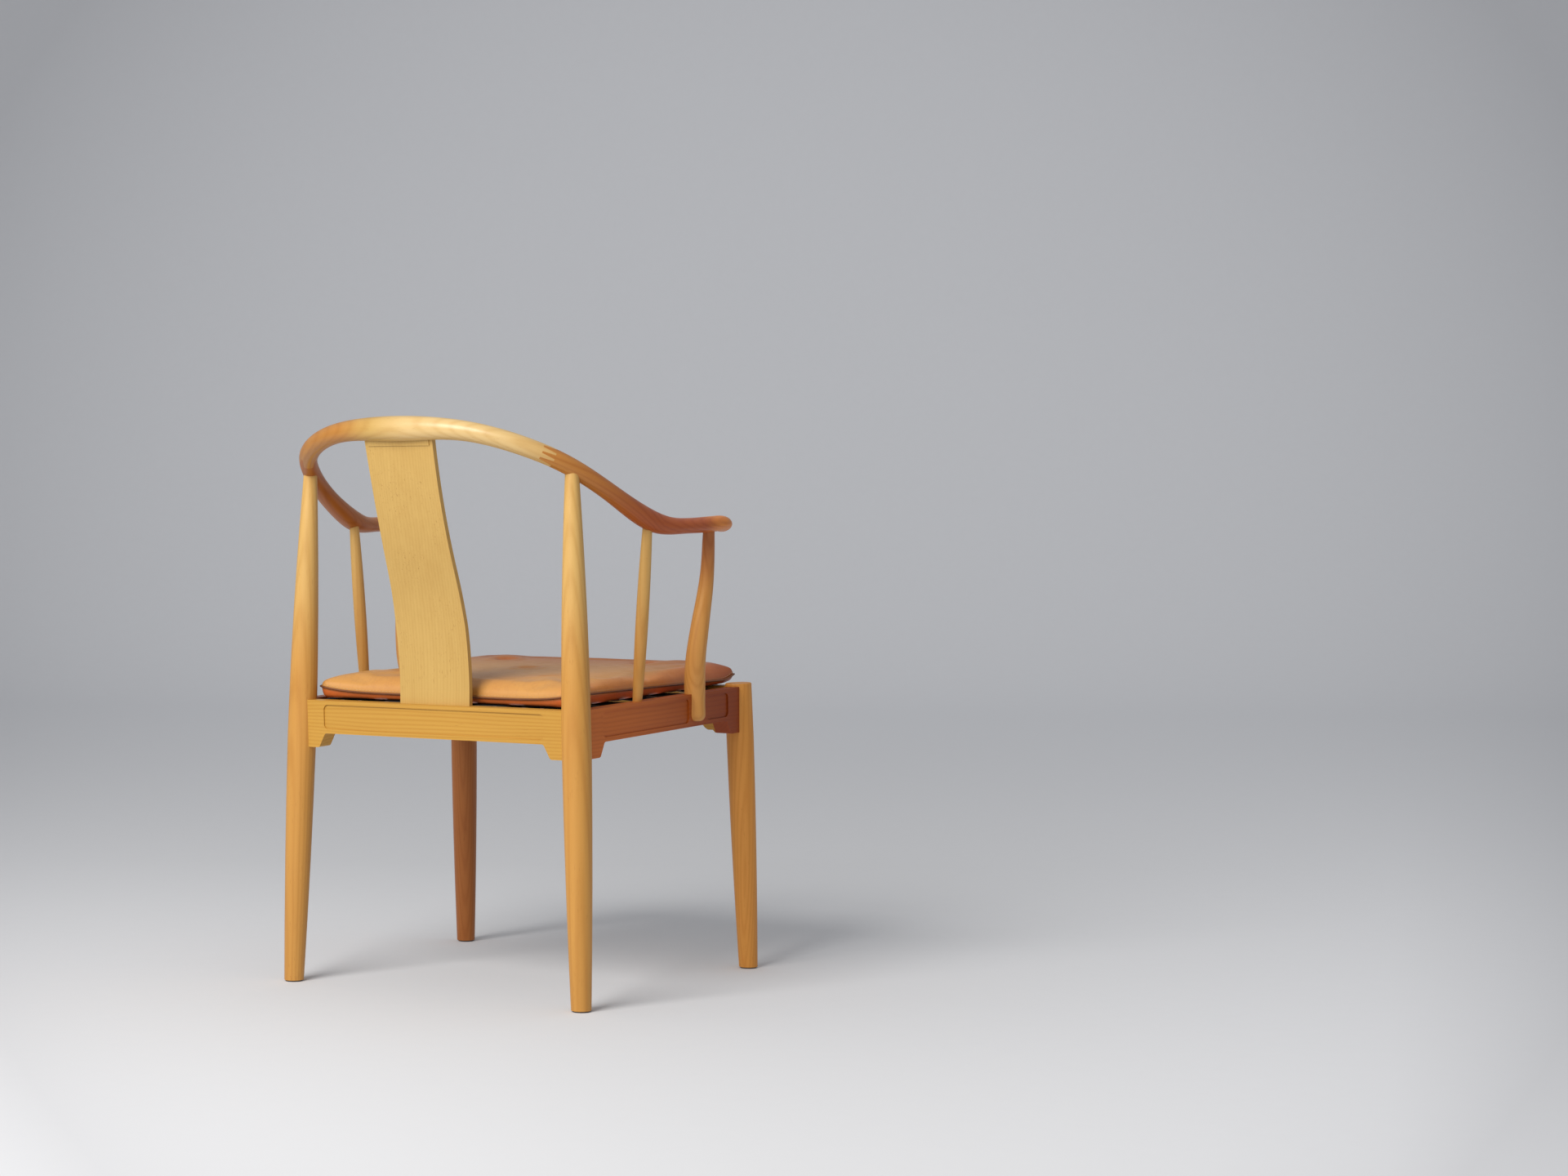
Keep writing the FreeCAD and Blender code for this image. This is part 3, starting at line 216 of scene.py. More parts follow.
ACROSS, BACK, UP = 0, 1, 2
HONEY_PALE = (0.690, 0.430, 0.140)
HONEY_DEEP = (0.540, 0.295, 0.078)
# Painted shade: both rear posts darker below the seat.
post_painted_shade = towards(UP, 0.62, 0.42, (0.90, 0.72, 0.50))
dress("rear_post_left", wood("rear post left wood", HONEY_PALE, HONEY_DEEP,
                             straight(ALONG_Z, (-0.225, -0.15, 0.4)), 0.5, 0.8, [post_painted_shade]))
dress("rear_post_right", wood("rear post right wood", HONEY_PALE, HONEY_DEEP,
                              straight(ALONG_Z, (0.222, -0.155, 0.1)), 0.5, 0.8, [post_painted_shade]))

# Front legs: turned hardwood, cut off flat just above the seat frame, so the end grain
# shows as rings on their tops. The left one is painted darker: painted shade of the seat.
# The right one is painted a lighter orange: painted light.
dress("front_leg_left", wood("front leg left wood", (0.420, 0.146, 0.032), (0.315, 0.092, 0.017),
                             straight(ALONG_Z, (-0.235, 0.24, 0.7)), 0.5, 0.9))
dress("front_leg_right", wood("front leg right wood", (0.700, 0.310, 0.062), (0.560, 0.215, 0.036),
                              straight(ALONG_Z, (0.262, 0.25, 1.1)), 0.5, 0.9, (), 0.0))

# Rear and front seat rails: straight planks with sunk panels and drop brackets, tenoned
# into the legs. The grain lies along the rail.
RAIL_PALE = (0.595, 0.325, 0.058)
RAIL_DEEP = (0.470, 0.225, 0.030)
dress("rear_rail", wood("rear rail wood", RAIL_PALE, RAIL_DEEP,
                        straight(ALONG_X, (0.43, -0.11, 0.02)), 0.3, 1.0))
dress("front_rail", wood("front rail wood", RAIL_PALE, RAIL_DEEP,
                         straight(ALONG_X, (0.45, 0.18, 0.06)), 0.3, 1.0))

# Side seat rails: planks like the rear rail. Their darker, redder colour is painted shade,
# and it grows darker towards the front. The spindles and the front arm posts stand on them.
# Painted shade: the side rails' colour, darker and redder than the rear rail's.
SIDE_SHADED_PALE = (0.600, 0.155, 0.018)
SIDE_SHADED_DEEP = (0.460, 0.100, 0.009)
# Painted shade: darker towards the front.
side_rail_painted_shade = towards(BACK, 0.14, -0.26, (0.46, 0.28, 0.04))
dress("side_rail_left", wood("side rail left wood", SIDE_SHADED_PALE, SIDE_SHADED_DEEP,
                             straight(ALONG_Y, (-0.20, 0.44, 0.03)), 0.3, 1.0, [side_rail_painted_shade]))
dress("side_rail_right", wood("side rail right wood", SIDE_SHADED_PALE, SIDE_SHADED_DEEP,
                              straight(ALONG_Y, (0.19, 0.45, 0.05)), 0.3, 1.0, [side_rail_painted_shade]))

# Splat: one board bent to a shallow S, tongued into the rear rail and the crest. It is
# quarter-cut, so it shows fine straight lines and short dark pores.
SPLAT_PALE = (0.600, 0.385, 0.118)
SPLAT_DEEP = (0.465, 0.265, 0.064)
dress("splat", wood("splat wood", SPLAT_PALE, SPLAT_DEEP,
                    straight(ALONG_Z, (0.6, -0.1, 0.2)), 0.9, 0.45))


# Crest rail: the palest piece of the horseshoe, and painted paler still as a painted
# highlight from the splat towards its right end; it grows darker and more golden towards
# both ends. Its grain follows the bend, and it is finger-jointed to both arms.
bend_middle = 0.02
bend_radius = 0.27
arm_level = 0.661
crest_slope = 0.49


def bent(shift):
    """Grain that follows the horseshoe: round the bend, then forwards along each arm."""
    def grain(graph):
        side, back, up = graph.parts(graph.place())
        past = back - bend_middle
        behind = past.math("MAXIMUM", 0.0)
        reach = (side * side + behind * behind) ** 0.5
        along = side.math("ABSOLUTE").math("ARCTAN2", behind) * bend_radius - past.math("MINIMUM", 0.0)
        height = up - arm_level - behind * crest_slope
        return graph.mapped(graph.join(reach + along * 0.06, height, along), shift=shift)
    return grain


CREST_PALE = (0.730, 0.515, 0.225)
CREST_DEEP = (0.590, 0.365, 0.125)
# Painted highlight: the crest stays palest right of the splat; these tints darken both ends.
crest_left_off_highlight = towards(ACROSS, -0.035, 0.05, (0.80, 0.72, 0.46))
crest_end_off_highlight = towards(ACROSS, 0.03, 0.10, (0.84, 0.57, 0.34))
crest_right_off_highlight = towards(ACROSS, -0.15, -0.24, (0.94, 0.82, 0.64))
dress("crest_rail", wood("crest wood", CREST_PALE, CREST_DEEP, bent((-0.20, 0.03, 0.76)), 0.4, 0.9,
                         [crest_left_off_highlight, crest_end_off_highlight, crest_right_off_highlight], 0.55))

# Arms: sawn from a darker plank, with the grain from back to front, and rounded off at
# the tips. Part of their darker, redder colour is painted shade: all over the left arm,
# whose inner face is in view, and growing towards the front of the right arm. Near the
# tips both are painted lighter: a painted highlight.
ARM_PALE = (0.570, 0.245, 0.050)
ARM_DEEP = (0.420, 0.145, 0.024)
# Painted shade: the right arm darker and redder towards its front.
arm_front_painted_shade = towards(BACK, 0.21, 0.03, (0.80, 0.42, 0.39))
# Painted highlight: both arms lighter near their tips.
arm_tip_painted_highlight = towards(BACK, -0.07, -0.12, (1.72, 2.50, 1.30))
# Painted shade: the left arm's darker colour.
dress("arm_left", wood("arm left wood", (0.450, 0.150, 0.026), (0.340, 0.096, 0.014),
                       bent((-0.22, 0.04, 0.2)), 0.6, 1.0, [arm_tip_painted_highlight], 0.2))
dress("arm_right", wood("arm right wood", ARM_PALE, ARM_DEEP, bent((-0.23, 0.05, 0.66)), 0.6, 1.0,
                        [arm_front_painted_shade, arm_tip_painted_highlight], 0.2))

# Arm spindles and front arm posts: turned cigar-shaped spindles halfway along the arms,
# and shaped posts near the tips that are lapped over the side rails. The spindles are
# painted darker towards their feet, and the posts towards their tops under the arms:
# painted shade.
POST_PALE = (0.665, 0.320, 0.080)
POST_DEEP = (0.510, 0.210, 0.042)
# Painted shade: the spindles darker towards their feet.
spindle_painted_shade = towards(UP, 0.64, 0.45, (0.92, 0.74, 0.55))
# Painted shade: the arm posts darker towards their tops, under the arms.
arm_post_painted_shade = towards(UP, 0.55, 0.64, (0.70, 0.52, 0.62))
for side, shift in (("left", -0.23), ("right", 0.21)):
    dress(f"arm_spindle_{side}", wood(f"spindle {side} wood", HONEY_PALE, HONEY_DEEP,
                                      straight(ALONG_Z, (shift, 0.02, 0.2 + shift)), 0.4, 0.7,
                                      [spindle_painted_shade]))
    dress(f"arm_post_{side}", wood(f"arm post {side} wood", POST_PALE, POST_DEEP,
                                   straight(ALONG_Z, (shift, 0.16, 0.3 + shift)), 0.4, 0.9,
                                   [arm_post_painted_shade]))

# Corner blocks: rough-sawn blocks glued inside the corners of the seat frame, left
# without oil. Two screws go from each one into the rails.
block_wood = wood("corner block wood", (0.60, 0.40, 0.20), (0.45, 0.27, 0.12),
                  straight(ALONG_X, (0.3, 0.02, 0)), 0.2, 0.8)
for end in ("front", "rear"):
    for side in ("left", "right"):
        dress(f"corner_block_{end}_{side}", block_wood)


# Screws and tacks: dull zinc-plated steel with fine turning marks.
def plain_steel():
    graph = Graph("screw steel")
    marks = graph.noise(graph.mapped(graph.place(), scale=(1, 1, 6)), 900.0)
    linked = {
        "Base Color": graph.mix(marks, (0.30, 0.30, 0.31), (0.52, 0.52, 0.54)),
        "Roughness": marks * 0.25 + 0.30,
        "Normal": graph.bump(marks, 0.2, 0.0002),
    }
    return graph.finish(linked, {"Metallic": 1.0})


steel = plain_steel()
dress("frame_screws", steel)
dress("strap_tacks", steel)


# Floor glides: thin dark discs nailed under the feet.
def glide_plastic():
    graph = Graph("glide plastic")
    grime = graph.noise(graph.place(), 160.0, 3.0)
    linked = {
        "Base Color": graph.mix(grime, (0.045, 0.035, 0.03), (0.13, 0.11, 0.095)),
        "Roughness": grime * 0.3 + 0.45,
        "Normal": graph.bump(grime, 0.3, 0.0003),
    }
    return graph.finish(linked, {"Specular IOR Level": 0.4})


dress("floor_glides", glide_plastic())

# Seat webbing: ten black straps, woven over and under each other and tacked into the
# rebates of the rails. The seat frame rises towards the front, and they lie in its plane.
seat_line_y = 0.17972
seat_line_z = 0.410
seat_tip = math.radians(2.1156)
seat_frame = Matrix.Translation((0, seat_line_y, seat_line_z)) @ Matrix.Rotation(-seat_tip, 4, "X")
strap_width = 0.054
strap_thickness = 0.0019
strap_bulge = 0.0002
weave_level = -0.0027
weave_rise = 0.00125
weave_flat = strap_width * 0.40
weave_lead = 0.075
strap_steps = 96


def local_box(name):
    """A node's extent in the seat frame's own axes."""
    turned = seat_frame.inverted()
    places = [turned @ vertex.co for vertex in nodes[name].data.vertices]
    low = Vector([min(place[axis] for place in places) for axis in range(3)])
    high = Vector([max(place[axis] for place in places) for axis in range(3)])
    return low, high


def smooth(share):
    share = min(max(share, 0.0), 1.0)
    return share * share * (3 - 2 * share)


def strap_level(place, crossings, first_up, end_level):
    """The height of a strap's middle: over one strap, under the next, flat at its ends."""
    knots = [(crossings[0] - weave_lead, end_level)]
    for number, middle in enumerate(crossings):
        up = 1 if (number % 2 == 0) == first_up else -1
        knots.append((middle - weave_flat, weave_level + up * weave_rise))
        knots.append((middle + weave_flat, weave_level + up * weave_rise))
    knots.append((crossings[-1] + weave_lead, end_level))
    if place <= knots[0][0]:
        return knots[0][1]
    for (before, low), (after, high) in zip(knots, knots[1:]):
        if place <= after:
            return low + (high - low) * smooth((place - before) / (after - before))
    return knots[-1][1]


def webbing():
    """Black polyester webbing: fine ribs along the strap and picks across it."""
    graph = Graph("webbing")
    along, across, _none = graph.parts(graph.node("ShaderNodeUVMap", {"uv_map": "strap"}))
    ribs = (across * (2 * math.pi / 0.0022)).math("SINE")
    picks = (along * (2 * math.pi / 0.0013) + ribs * 1.4).math("SINE")
    weave = ribs * picks * 0.5 + 0.5
    dust = graph.noise(graph.place(), 40.0, 3.0)
    colour = graph.mix(weave, (0.010, 0.010, 0.011), (0.035, 0.034, 0.034))
    linked = {
        "Base Color": graph.mix(dust * 0.25, colour, (0.075, 0.07, 0.065)),
        "Roughness": weave * 0.12 + 0.68,
        "Normal": graph.bump(weave, 0.6, 0.0005),
    }
    return graph.finish(linked, {"Specular IOR Level": 0.3})


def shown(name, data, material):
    """A new object for a mesh, in the scene."""
    data.materials.clear()
    data.materials.append(material)
    data.shade_smooth()
    piece = bpy.data.objects.new(name, data)
    bpy.context.scene.collection.objects.link(piece)
    return piece


def mesh_data(name, mesh):
    """Turn a bmesh into mesh data, with its faces outwards."""
    bmesh.ops.recalc_face_normals(mesh, faces=mesh.faces)
    data = bpy.data.meshes.new(name)
    mesh.to_mesh(data)
    mesh.free()
    return data


def strap_outline():
    """The strap's section: a thin band with rounded edges and a slightly full top."""
    half, thick = strap_width / 2, strap_thickness / 2
    edge = thick * 0.8
    right = [(half - edge * 1.4, thick), (half - edge * 0.4, thick * 0.75), (half, 0),
             (half - edge * 0.4, -thick * 0.75), (half - edge * 1.4, -thick)]
    left = [(-across, up) for across, up in reversed(right)]
    return [(0, thick + strap_bulge)] + right + [(0, -thick)] + left


def weave_strap(name, own, number, crossings, lengthwise):
    """One strap as a closed band that follows the weave."""
    axis, side = (1, 0) if lengthwise else (0, 1)
    low, high = own
    middle = (low + high) / 2
    first_up = (number % 2 == 0) == lengthwise
    outline = strap_outline()
    mesh = bmesh.new()
    layer = mesh.loops.layers.uv.new("strap")
    rings, places = [], []
    for step in range(strap_steps + 1):
        place = low[axis] + (high[axis] - low[axis]) * step / strap_steps
        level = strap_level(place, crossings, first_up, middle.z)
        ring = []
        for out, up in outline:
            point = Vector((0, 0, level + up))
            point[axis] = place
            point[side] = middle[side] + out
            ring.append(mesh.verts.new(seat_frame @ point))
        rings.append(ring)
        places.append(place)
    for step in range(strap_steps):
        for turn in range(len(outline)):
            corners = [(step, turn), (step, turn - 1), (step + 1, turn - 1), (step + 1, turn)]
            face = mesh.faces.new([rings[row][column] for row, column in corners])
            for loop, (row, column) in zip(face.loops, corners):
                loop[layer].uv = (places[row], outline[column][0])
    mesh.faces.new(rings[0])
    mesh.faces.new(rings[-1])
    return mesh_data(name, mesh)


strap_material = webbing()
strap_boxes = {(word, number): local_box(f"{word}_strap_{number}")
               for word in ("long", "cross") for number in range(1, 6)}
for (word, number), own in strap_boxes.items():
    lengthwise = word == "long"
    axis = 1 if lengthwise else 0
    crossings = sorted((box[0][axis] + box[1][axis]) / 2
                       for (other, _number), box in strap_boxes.items() if other != word)
    data = weave_strap(f"woven_{word}_strap_{number}", own, number, crossings, lengthwise)
    strap = shown(f"woven_{word}_strap_{number}", data, strap_material)
    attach(strap, "chair_frame")
    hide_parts(f"{word}_strap_{number}")

# Seat cushion: two panels of tan leather sewn together over a soft pad, crowned, drawn
# in along its sides and pulled down at five tufts. The panels meet in a seam at mid-edge.
rear_half, front_half = 0.2130, 0.2270
rear_edge, front_edge = 0.1640 - seat_line_y, -0.2778 - seat_line_y
cushion_middle = (rear_edge + front_edge) / 2
side_draw, end_draw = 0.006, 0.007
corner_reach, corner_pull = 0.012, 0.0025
cushion_base, cushion_top = 0.0008, 0.0405
top_inset, foot_inset, corner_inset, undercut_reach = 0.085, 0.010, 0.022, 0.06
front_fullness = 0.80
crown_turn, crown_flatness = 2.6, 0.46
side_seam, side_climb, climb_power = 0.0070, 0.0112, 0.85
middle_seam, middle_climb, dip_power = 0.0085, 0.0015, 6
tip_lift, tip_reach = 0.008, 0.018
even_share = 0.3
tuft_side, tuft_end = 0.122, 0.128
tuft_width, tuft_depth = 0.023, 0.0110
cells = 72


def grid_share(step):
    """Where a line of the grid lies between two edges: the lines crowd at the edges."""
    part = step / cells
    return even_share * part + (1 - even_share) * (0.5 - 0.5 * math.cos(math.pi * part))


def panel_place(over, back):
    """A point of the flat panel. Both shares run from 0 to 1, from the front right corner."""
    half = front_half + (rear_half - front_half) * back - side_draw * 4 * back * (1 - back)
    draw = end_draw * 4 * over * (1 - over)
    front, rear = front_edge + draw, rear_edge - draw
    place = Vector(((2 * over - 1) * half, front + (rear - front) * back))
    corner = Vector((math.copysign(front_half if back < 0.5 else rear_half, over - 0.5),
                     front_edge if back < 0.5 else rear_edge))
    away = (place - corner).length
    if away < corner_reach:
        inward = (Vector((0, cushion_middle)) - corner).normalized()
        place += inward * corner_pull * (1 - away / corner_reach) ** 2
    return place


def from_front_corner(place):
    """How far a place is from the nearer front corner."""
    return Vector((abs(place.x) - front_half, place.y - front_edge)).length


def seam_level(place):
    """The seam climbs from front to back along the sides and dips in the middle of the ends."""
    back = min(max((place.y - front_edge) / (rear_edge - front_edge), 0.0), 1.0)
    half = front_half + (rear_half - front_half) * back
    side = side_seam + side_climb * back ** climb_power
    middle = middle_seam + middle_climb * back
    tip = tip_lift * math.exp(-(from_front_corner(place) / tip_reach) ** 2)
    return middle + (side - middle) * (abs(place.x) / half) ** dip_power + tip


def crown(share):
    """Height over the seam, from 0 at the edge to 1 on the flat: a full, rounded edge."""
    share = min(share, 1.0)
    return (1 - (1 - share) ** crown_turn) ** crown_flatness


def tuft_sink(place):
    """How far the top is pulled down near a tuft."""
    sink = 0.0
    for side in (-1, 0, 1):
        for end in ((0,) if side == 0 else (-1, 1)):
            tuft = Vector((tuft_side * side, cushion_middle + tuft_end * end))
            sink += tuft_depth * math.exp(-((place - tuft).length / tuft_width) ** 2)
    return sink


def cushion_mesh():
    """Top and bottom panels on one grid. They share the points of the seam."""
    mesh = bmesh.new()
    under = mesh.verts.layers.float.new("under")
    sunk = mesh.verts.layers.float.new("sunk")
    panels = {}
    for row in range(cells + 1):
        for column in range(cells + 1):
            over, back = grid_share(column), grid_share(row)
            place = panel_place(over, back)
            seam = seam_level(place)
            if row in (0, cells) or column in (0, cells):
                shared = mesh.verts.new((place.x, place.y, seam))
                shared[under] = 0.5
                panels["top", row, column] = panels["bottom", row, column] = shared
                continue
            inset = [2 * min(over, 1 - over) * front_half,
                     min(back, 1 - back) * (rear_edge - front_edge)]
            nearest = (inset[0] ** -3 + inset[1] ** -3) ** (-1 / 3)
            near_corner = math.exp(-(from_front_corner(place) / undercut_reach) ** 2)
            fullness = front_fullness + (1 - front_fullness) * back
            rise = crown(nearest / (top_inset * fullness))
            fall = crown(nearest / (foot_inset + corner_inset * near_corner))
            top = seam + (cushion_top - seam) * rise - tuft_sink(place)
            above = mesh.verts.new((place.x, place.y, top))
            above[sunk] = tuft_sink(place) / tuft_depth
            panels["top", row, column] = above
            foot = seam + (cushion_base - seam) * fall
            below = mesh.verts.new((place.x, place.y, foot))
            below[under] = 1.0
            panels["bottom", row, column] = below
    for panel in ("top", "bottom"):
        for row in range(cells):
            for column in range(cells):
                mesh.faces.new([panels[panel, row, column], panels[panel, row, column + 1],
                                panels[panel, row + 1, column + 1], panels[panel, row + 1, column]])
    mesh.verts.index_update()
    places = {key: vertex.index for key, vertex in panels.items()}
    return mesh_data("cushion", mesh), places


def leather():
    """Tan leather: pebbled grain and creases, with painted shade: darker in front, underneath, at the
    tufts and in the creases, redder along the right side.
    """
    graph = Graph("tan leather")
    place = graph.place()
    cells_edge = graph.node("ShaderNodeTexVoronoi", {"feature": "DISTANCE_TO_EDGE"},
                            {"Vector": place, "Scale": 620.0})
    pebble = graph.ramp(cells_edge, (0.0, 0.0), (0.22, 1.0))
    broad = graph.noise(place, 9.0, 3.0)
    mottle = graph.noise(place, 55.0, 4.0, 0.6)
    creases = graph.noise(graph.mapped(place, scale=(1, 0.35, 1)), 60.0, 4.0, 0.65)
    lines = graph.ramp((creases - 0.5).math("ABSOLUTE"), (0.0, 1.0), (0.03, 0.0))
    colour = graph.mix(broad * 0.7 + mottle * 0.5 - 0.1, (0.670, 0.340, 0.085), (0.540, 0.230, 0.048))
    # Painted shade: dark lines along the creases.
    colour = graph.mix(lines * 0.16, colour, (0.34, 0.12, 0.04))
    # Painted shade: darker towards the front.
    colour = towards(BACK, -0.05, -0.27, (0.74, 0.50, 0.46))(graph, colour)
    # Painted shade: redder along the right side.
    colour = towards(ACROSS, -0.185, -0.215, (1.16, 0.88, 0.80))(graph, colour)
    # Painted shade: darker again at the front edge.
    colour = towards(BACK, -0.21, -0.275, (0.68, 0.66, 0.62))(graph, colour)
    # Painted shade on the bottom panel: darker and redder.
    under = graph.node("ShaderNodeAttribute", {"attribute_name": "under"}, output="Fac")
    colour = graph.mix(graph.ramp(under, (0.5, 0.0), (0.7, 1.0)), colour, (0.98, 0.49, 0.40), "MULTIPLY")
    # Painted shade at the tufts, mottled.
    sunk = graph.node("ShaderNodeAttribute", {"attribute_name": "sunk"}, output="Fac")
    colour = graph.mix(sunk * (mottle * 0.8 + 0.5), colour, (0.86, 0.60, 0.46), "MULTIPLY")
    height = pebble * 0.3 + mottle * 0.5 - lines * 0.3
    linked = {
        "Base Color": colour,
        "Roughness": mottle * 0.2 + broad * 0.1 + 0.30,
        "Normal": graph.bump(height, 0.2, 0.0006),
    }
    return graph.finish(linked, {"Specular IOR Level": 0.5, "Coat Weight": 0.15, "Coat Roughness": 0.35})


leather_material = leather()
cushion_data, grid = cushion_mesh()
cushion = shown("leather_cushion", cushion_data, leather_material)

# The leather is blown up a little by a cloth simulation that holds its seam, its foot and
# its tufts, so that it stands taut between them and creases where it is held.
cloth_steps = 20
cloth_cap = 0.006


def held_points():
    """The points of the cushion that the simulation leaves in place."""
    held = []
    for (panel, _row, _column), index in grid.items():
        place = cushion_data.vertices[index].co
        on_seam = grid["top", _row, _column] == grid["bottom", _row, _column]
        on_foot = panel == "bottom" and place.z < cushion_base + 0.0004
        on_tuft = panel == "top" and tuft_sink(place.xy) > tuft_depth * 0.86
        if on_seam or on_foot or on_tuft:
            held.append(index)
    return held


def blow_up():
    """Run the simulation and move each point by its capped shift."""
    started = [vertex.co.copy() for vertex in cushion_data.vertices]
    hold = cushion.vertex_groups.new(name="hold")
    hold.add(held_points(), 1.0, "REPLACE")
    cloth = cushion.modifiers.new("cloth", "CLOTH")
    settings = cloth.settings
    settings.quality = 6
    settings.mass = 0.4
    settings.tension_stiffness = 25
    settings.compression_stiffness = 25
    settings.shear_stiffness = 12
    settings.bending_stiffness = 6.0
    settings.vertex_group_mass = "hold"
    settings.use_pressure = True
    settings.uniform_pressure_force = 1.6
    settings.shrink_min = -0.002
    settings.effector_weights.gravity = 0.0
    cloth.collision_settings.use_collision = False
    cloth.point_cache.frame_start = 1
    cloth.point_cache.frame_end = cloth_steps
    for moment in range(1, cloth_steps + 1):
        bpy.context.scene.frame_set(moment)
    settled = cushion.evaluated_get(bpy.context.evaluated_depsgraph_get())
    moves = [after.co - before for after, before in zip(settled.data.vertices, started)]
    cushion.modifiers.remove(cloth)
    cushion.vertex_groups.clear()
    for vertex, before, move in zip(cushion_data.vertices, started, moves):
        if move.length > cloth_cap:
            move *= cloth_cap / move.length
        vertex.co = before + move
        vertex.co.z = max(vertex.co.z, cushion_base)
    bpy.context.scene.frame_set(1)


blow_up()

seam_order = ([(0, column) for column in range(cells)] + [(row, cells) for row in range(cells)]
              + [(cells, column) for column in range(cells, 0, -1)]
              + [(row, 0) for row in range(cells, 0, -1)])
inner_order = [(min(max(row, 1), cells - 1), min(max(column, 1), cells - 1))
               for row, column in seam_order]


def top_points(order):
    """Where the top panel's points lie, in the given order."""
    return [cushion_data.vertices[grid["top", row, column]].co.copy() for row, column in order]


seam_points = top_points(seam_order)
inner_points = top_points(inner_order)


def plain_mesh(piece):
    """The object's mesh with its modifiers applied."""
    graph = bpy.context.evaluated_depsgraph_get()
    return bpy.data.meshes.new_from_object(piece.evaluated_get(graph))


subdivide = cushion.modifiers.new("subdivide", "SUBSURF")
subdivide.levels = 1
smoothed = plain_mesh(cushion)
cushion.modifiers.remove(subdivide)
cushion.data = smoothed
smoothed.transform(seat_frame)
smoothed.shade_smooth()
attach(cushion, "seat_cushion")
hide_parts("cushion_cover", "cushion_pad")

# Welt: a thin leather cord laid over the seam between the two panels.
welt_radius = 0.0015
welt_offset = 0.0009
welt_sides = 10


def welt_mesh():
    """A closed tube along the seam."""
    mesh = bmesh.new()
    rings = []
    for number, place in enumerate(seam_points):
        along = seam_points[(number + 1) % len(seam_points)] - seam_points[number - 1]
        outward = along.cross(Vector((0, 0, 1))).normalized()
        upward = outward.cross(along).normalized()
        middle = place + outward * welt_offset
        ring = []
        for turn in range(welt_sides):
            angle = 2 * math.pi * turn / welt_sides
            offset = outward * math.cos(angle) + upward * math.sin(angle)
            ring.append(mesh.verts.new(seat_frame @ (middle + offset * welt_radius)))
        rings.append(ring)
    for number, ring in enumerate(rings):
        before = rings[number - 1]
        for turn in range(welt_sides):
            mesh.faces.new((before[turn - 1], before[turn], ring[turn], ring[turn - 1]))
    return mesh_data("leather_welt", mesh)


def darker_welt_leather():
    """The welt's leather is the same hide, darker."""
    graph = Graph("welt leather")
    welt_mottle = graph.noise(graph.place(), 130.0, 3.0)
    linked = {
        "Base Color": graph.mix(welt_mottle, (0.22, 0.075, 0.022), (0.13, 0.042, 0.012)),
        "Roughness": welt_mottle * 0.2 + 0.34,
        "Normal": graph.bump(welt_mottle, 0.25, 0.0004),
    }
    return graph.finish(linked, {"Specular IOR Level": 0.5})


welt = shown("leather_welt", welt_mesh(), darker_welt_leather())
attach(welt, "seat_cushion")
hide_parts("cushion_welt")

# Stitches: one row of pale waxed thread beside the welt, through the top panel.
stitch_pitch = 0.0056
stitch_length = 0.0034
thread_radius = 0.00032
stitch_inset = 0.0032
stitch_lift = 0.0001


def stitch_line():
    """The row's path, a set distance in from the seam on the top panel."""
    mesh = bmesh.new()
    points = []
    for seam, inner in zip(seam_points, inner_points):
        step = inner - seam
        place = seam + step * min(stitch_inset / step.length, 1.0)
        place.z += stitch_lift
        points.append(mesh.verts.new(seat_frame @ place))
    for before, after in zip(points, points[1:] + points[:1]):
        if (before.co - after.co).length > 0:
            mesh.edges.new((before, after))
    data = bpy.data.meshes.new("stitch_line")
    mesh.to_mesh(data)
    mesh.free()
    return data


def thread():
    graph = Graph("waxed thread")
    twist = graph.noise(graph.place(), 1400.0, 1.0)
    linked = {
        "Base Color": graph.mix(twist, (0.72, 0.52, 0.30), (0.50, 0.32, 0.15)),
        "Roughness": twist * 0.2 + 0.45,
        "Normal": graph.bump(twist, 0.4, 0.0002),
    }
    return graph.finish(linked, {"Specular IOR Level": 0.4})


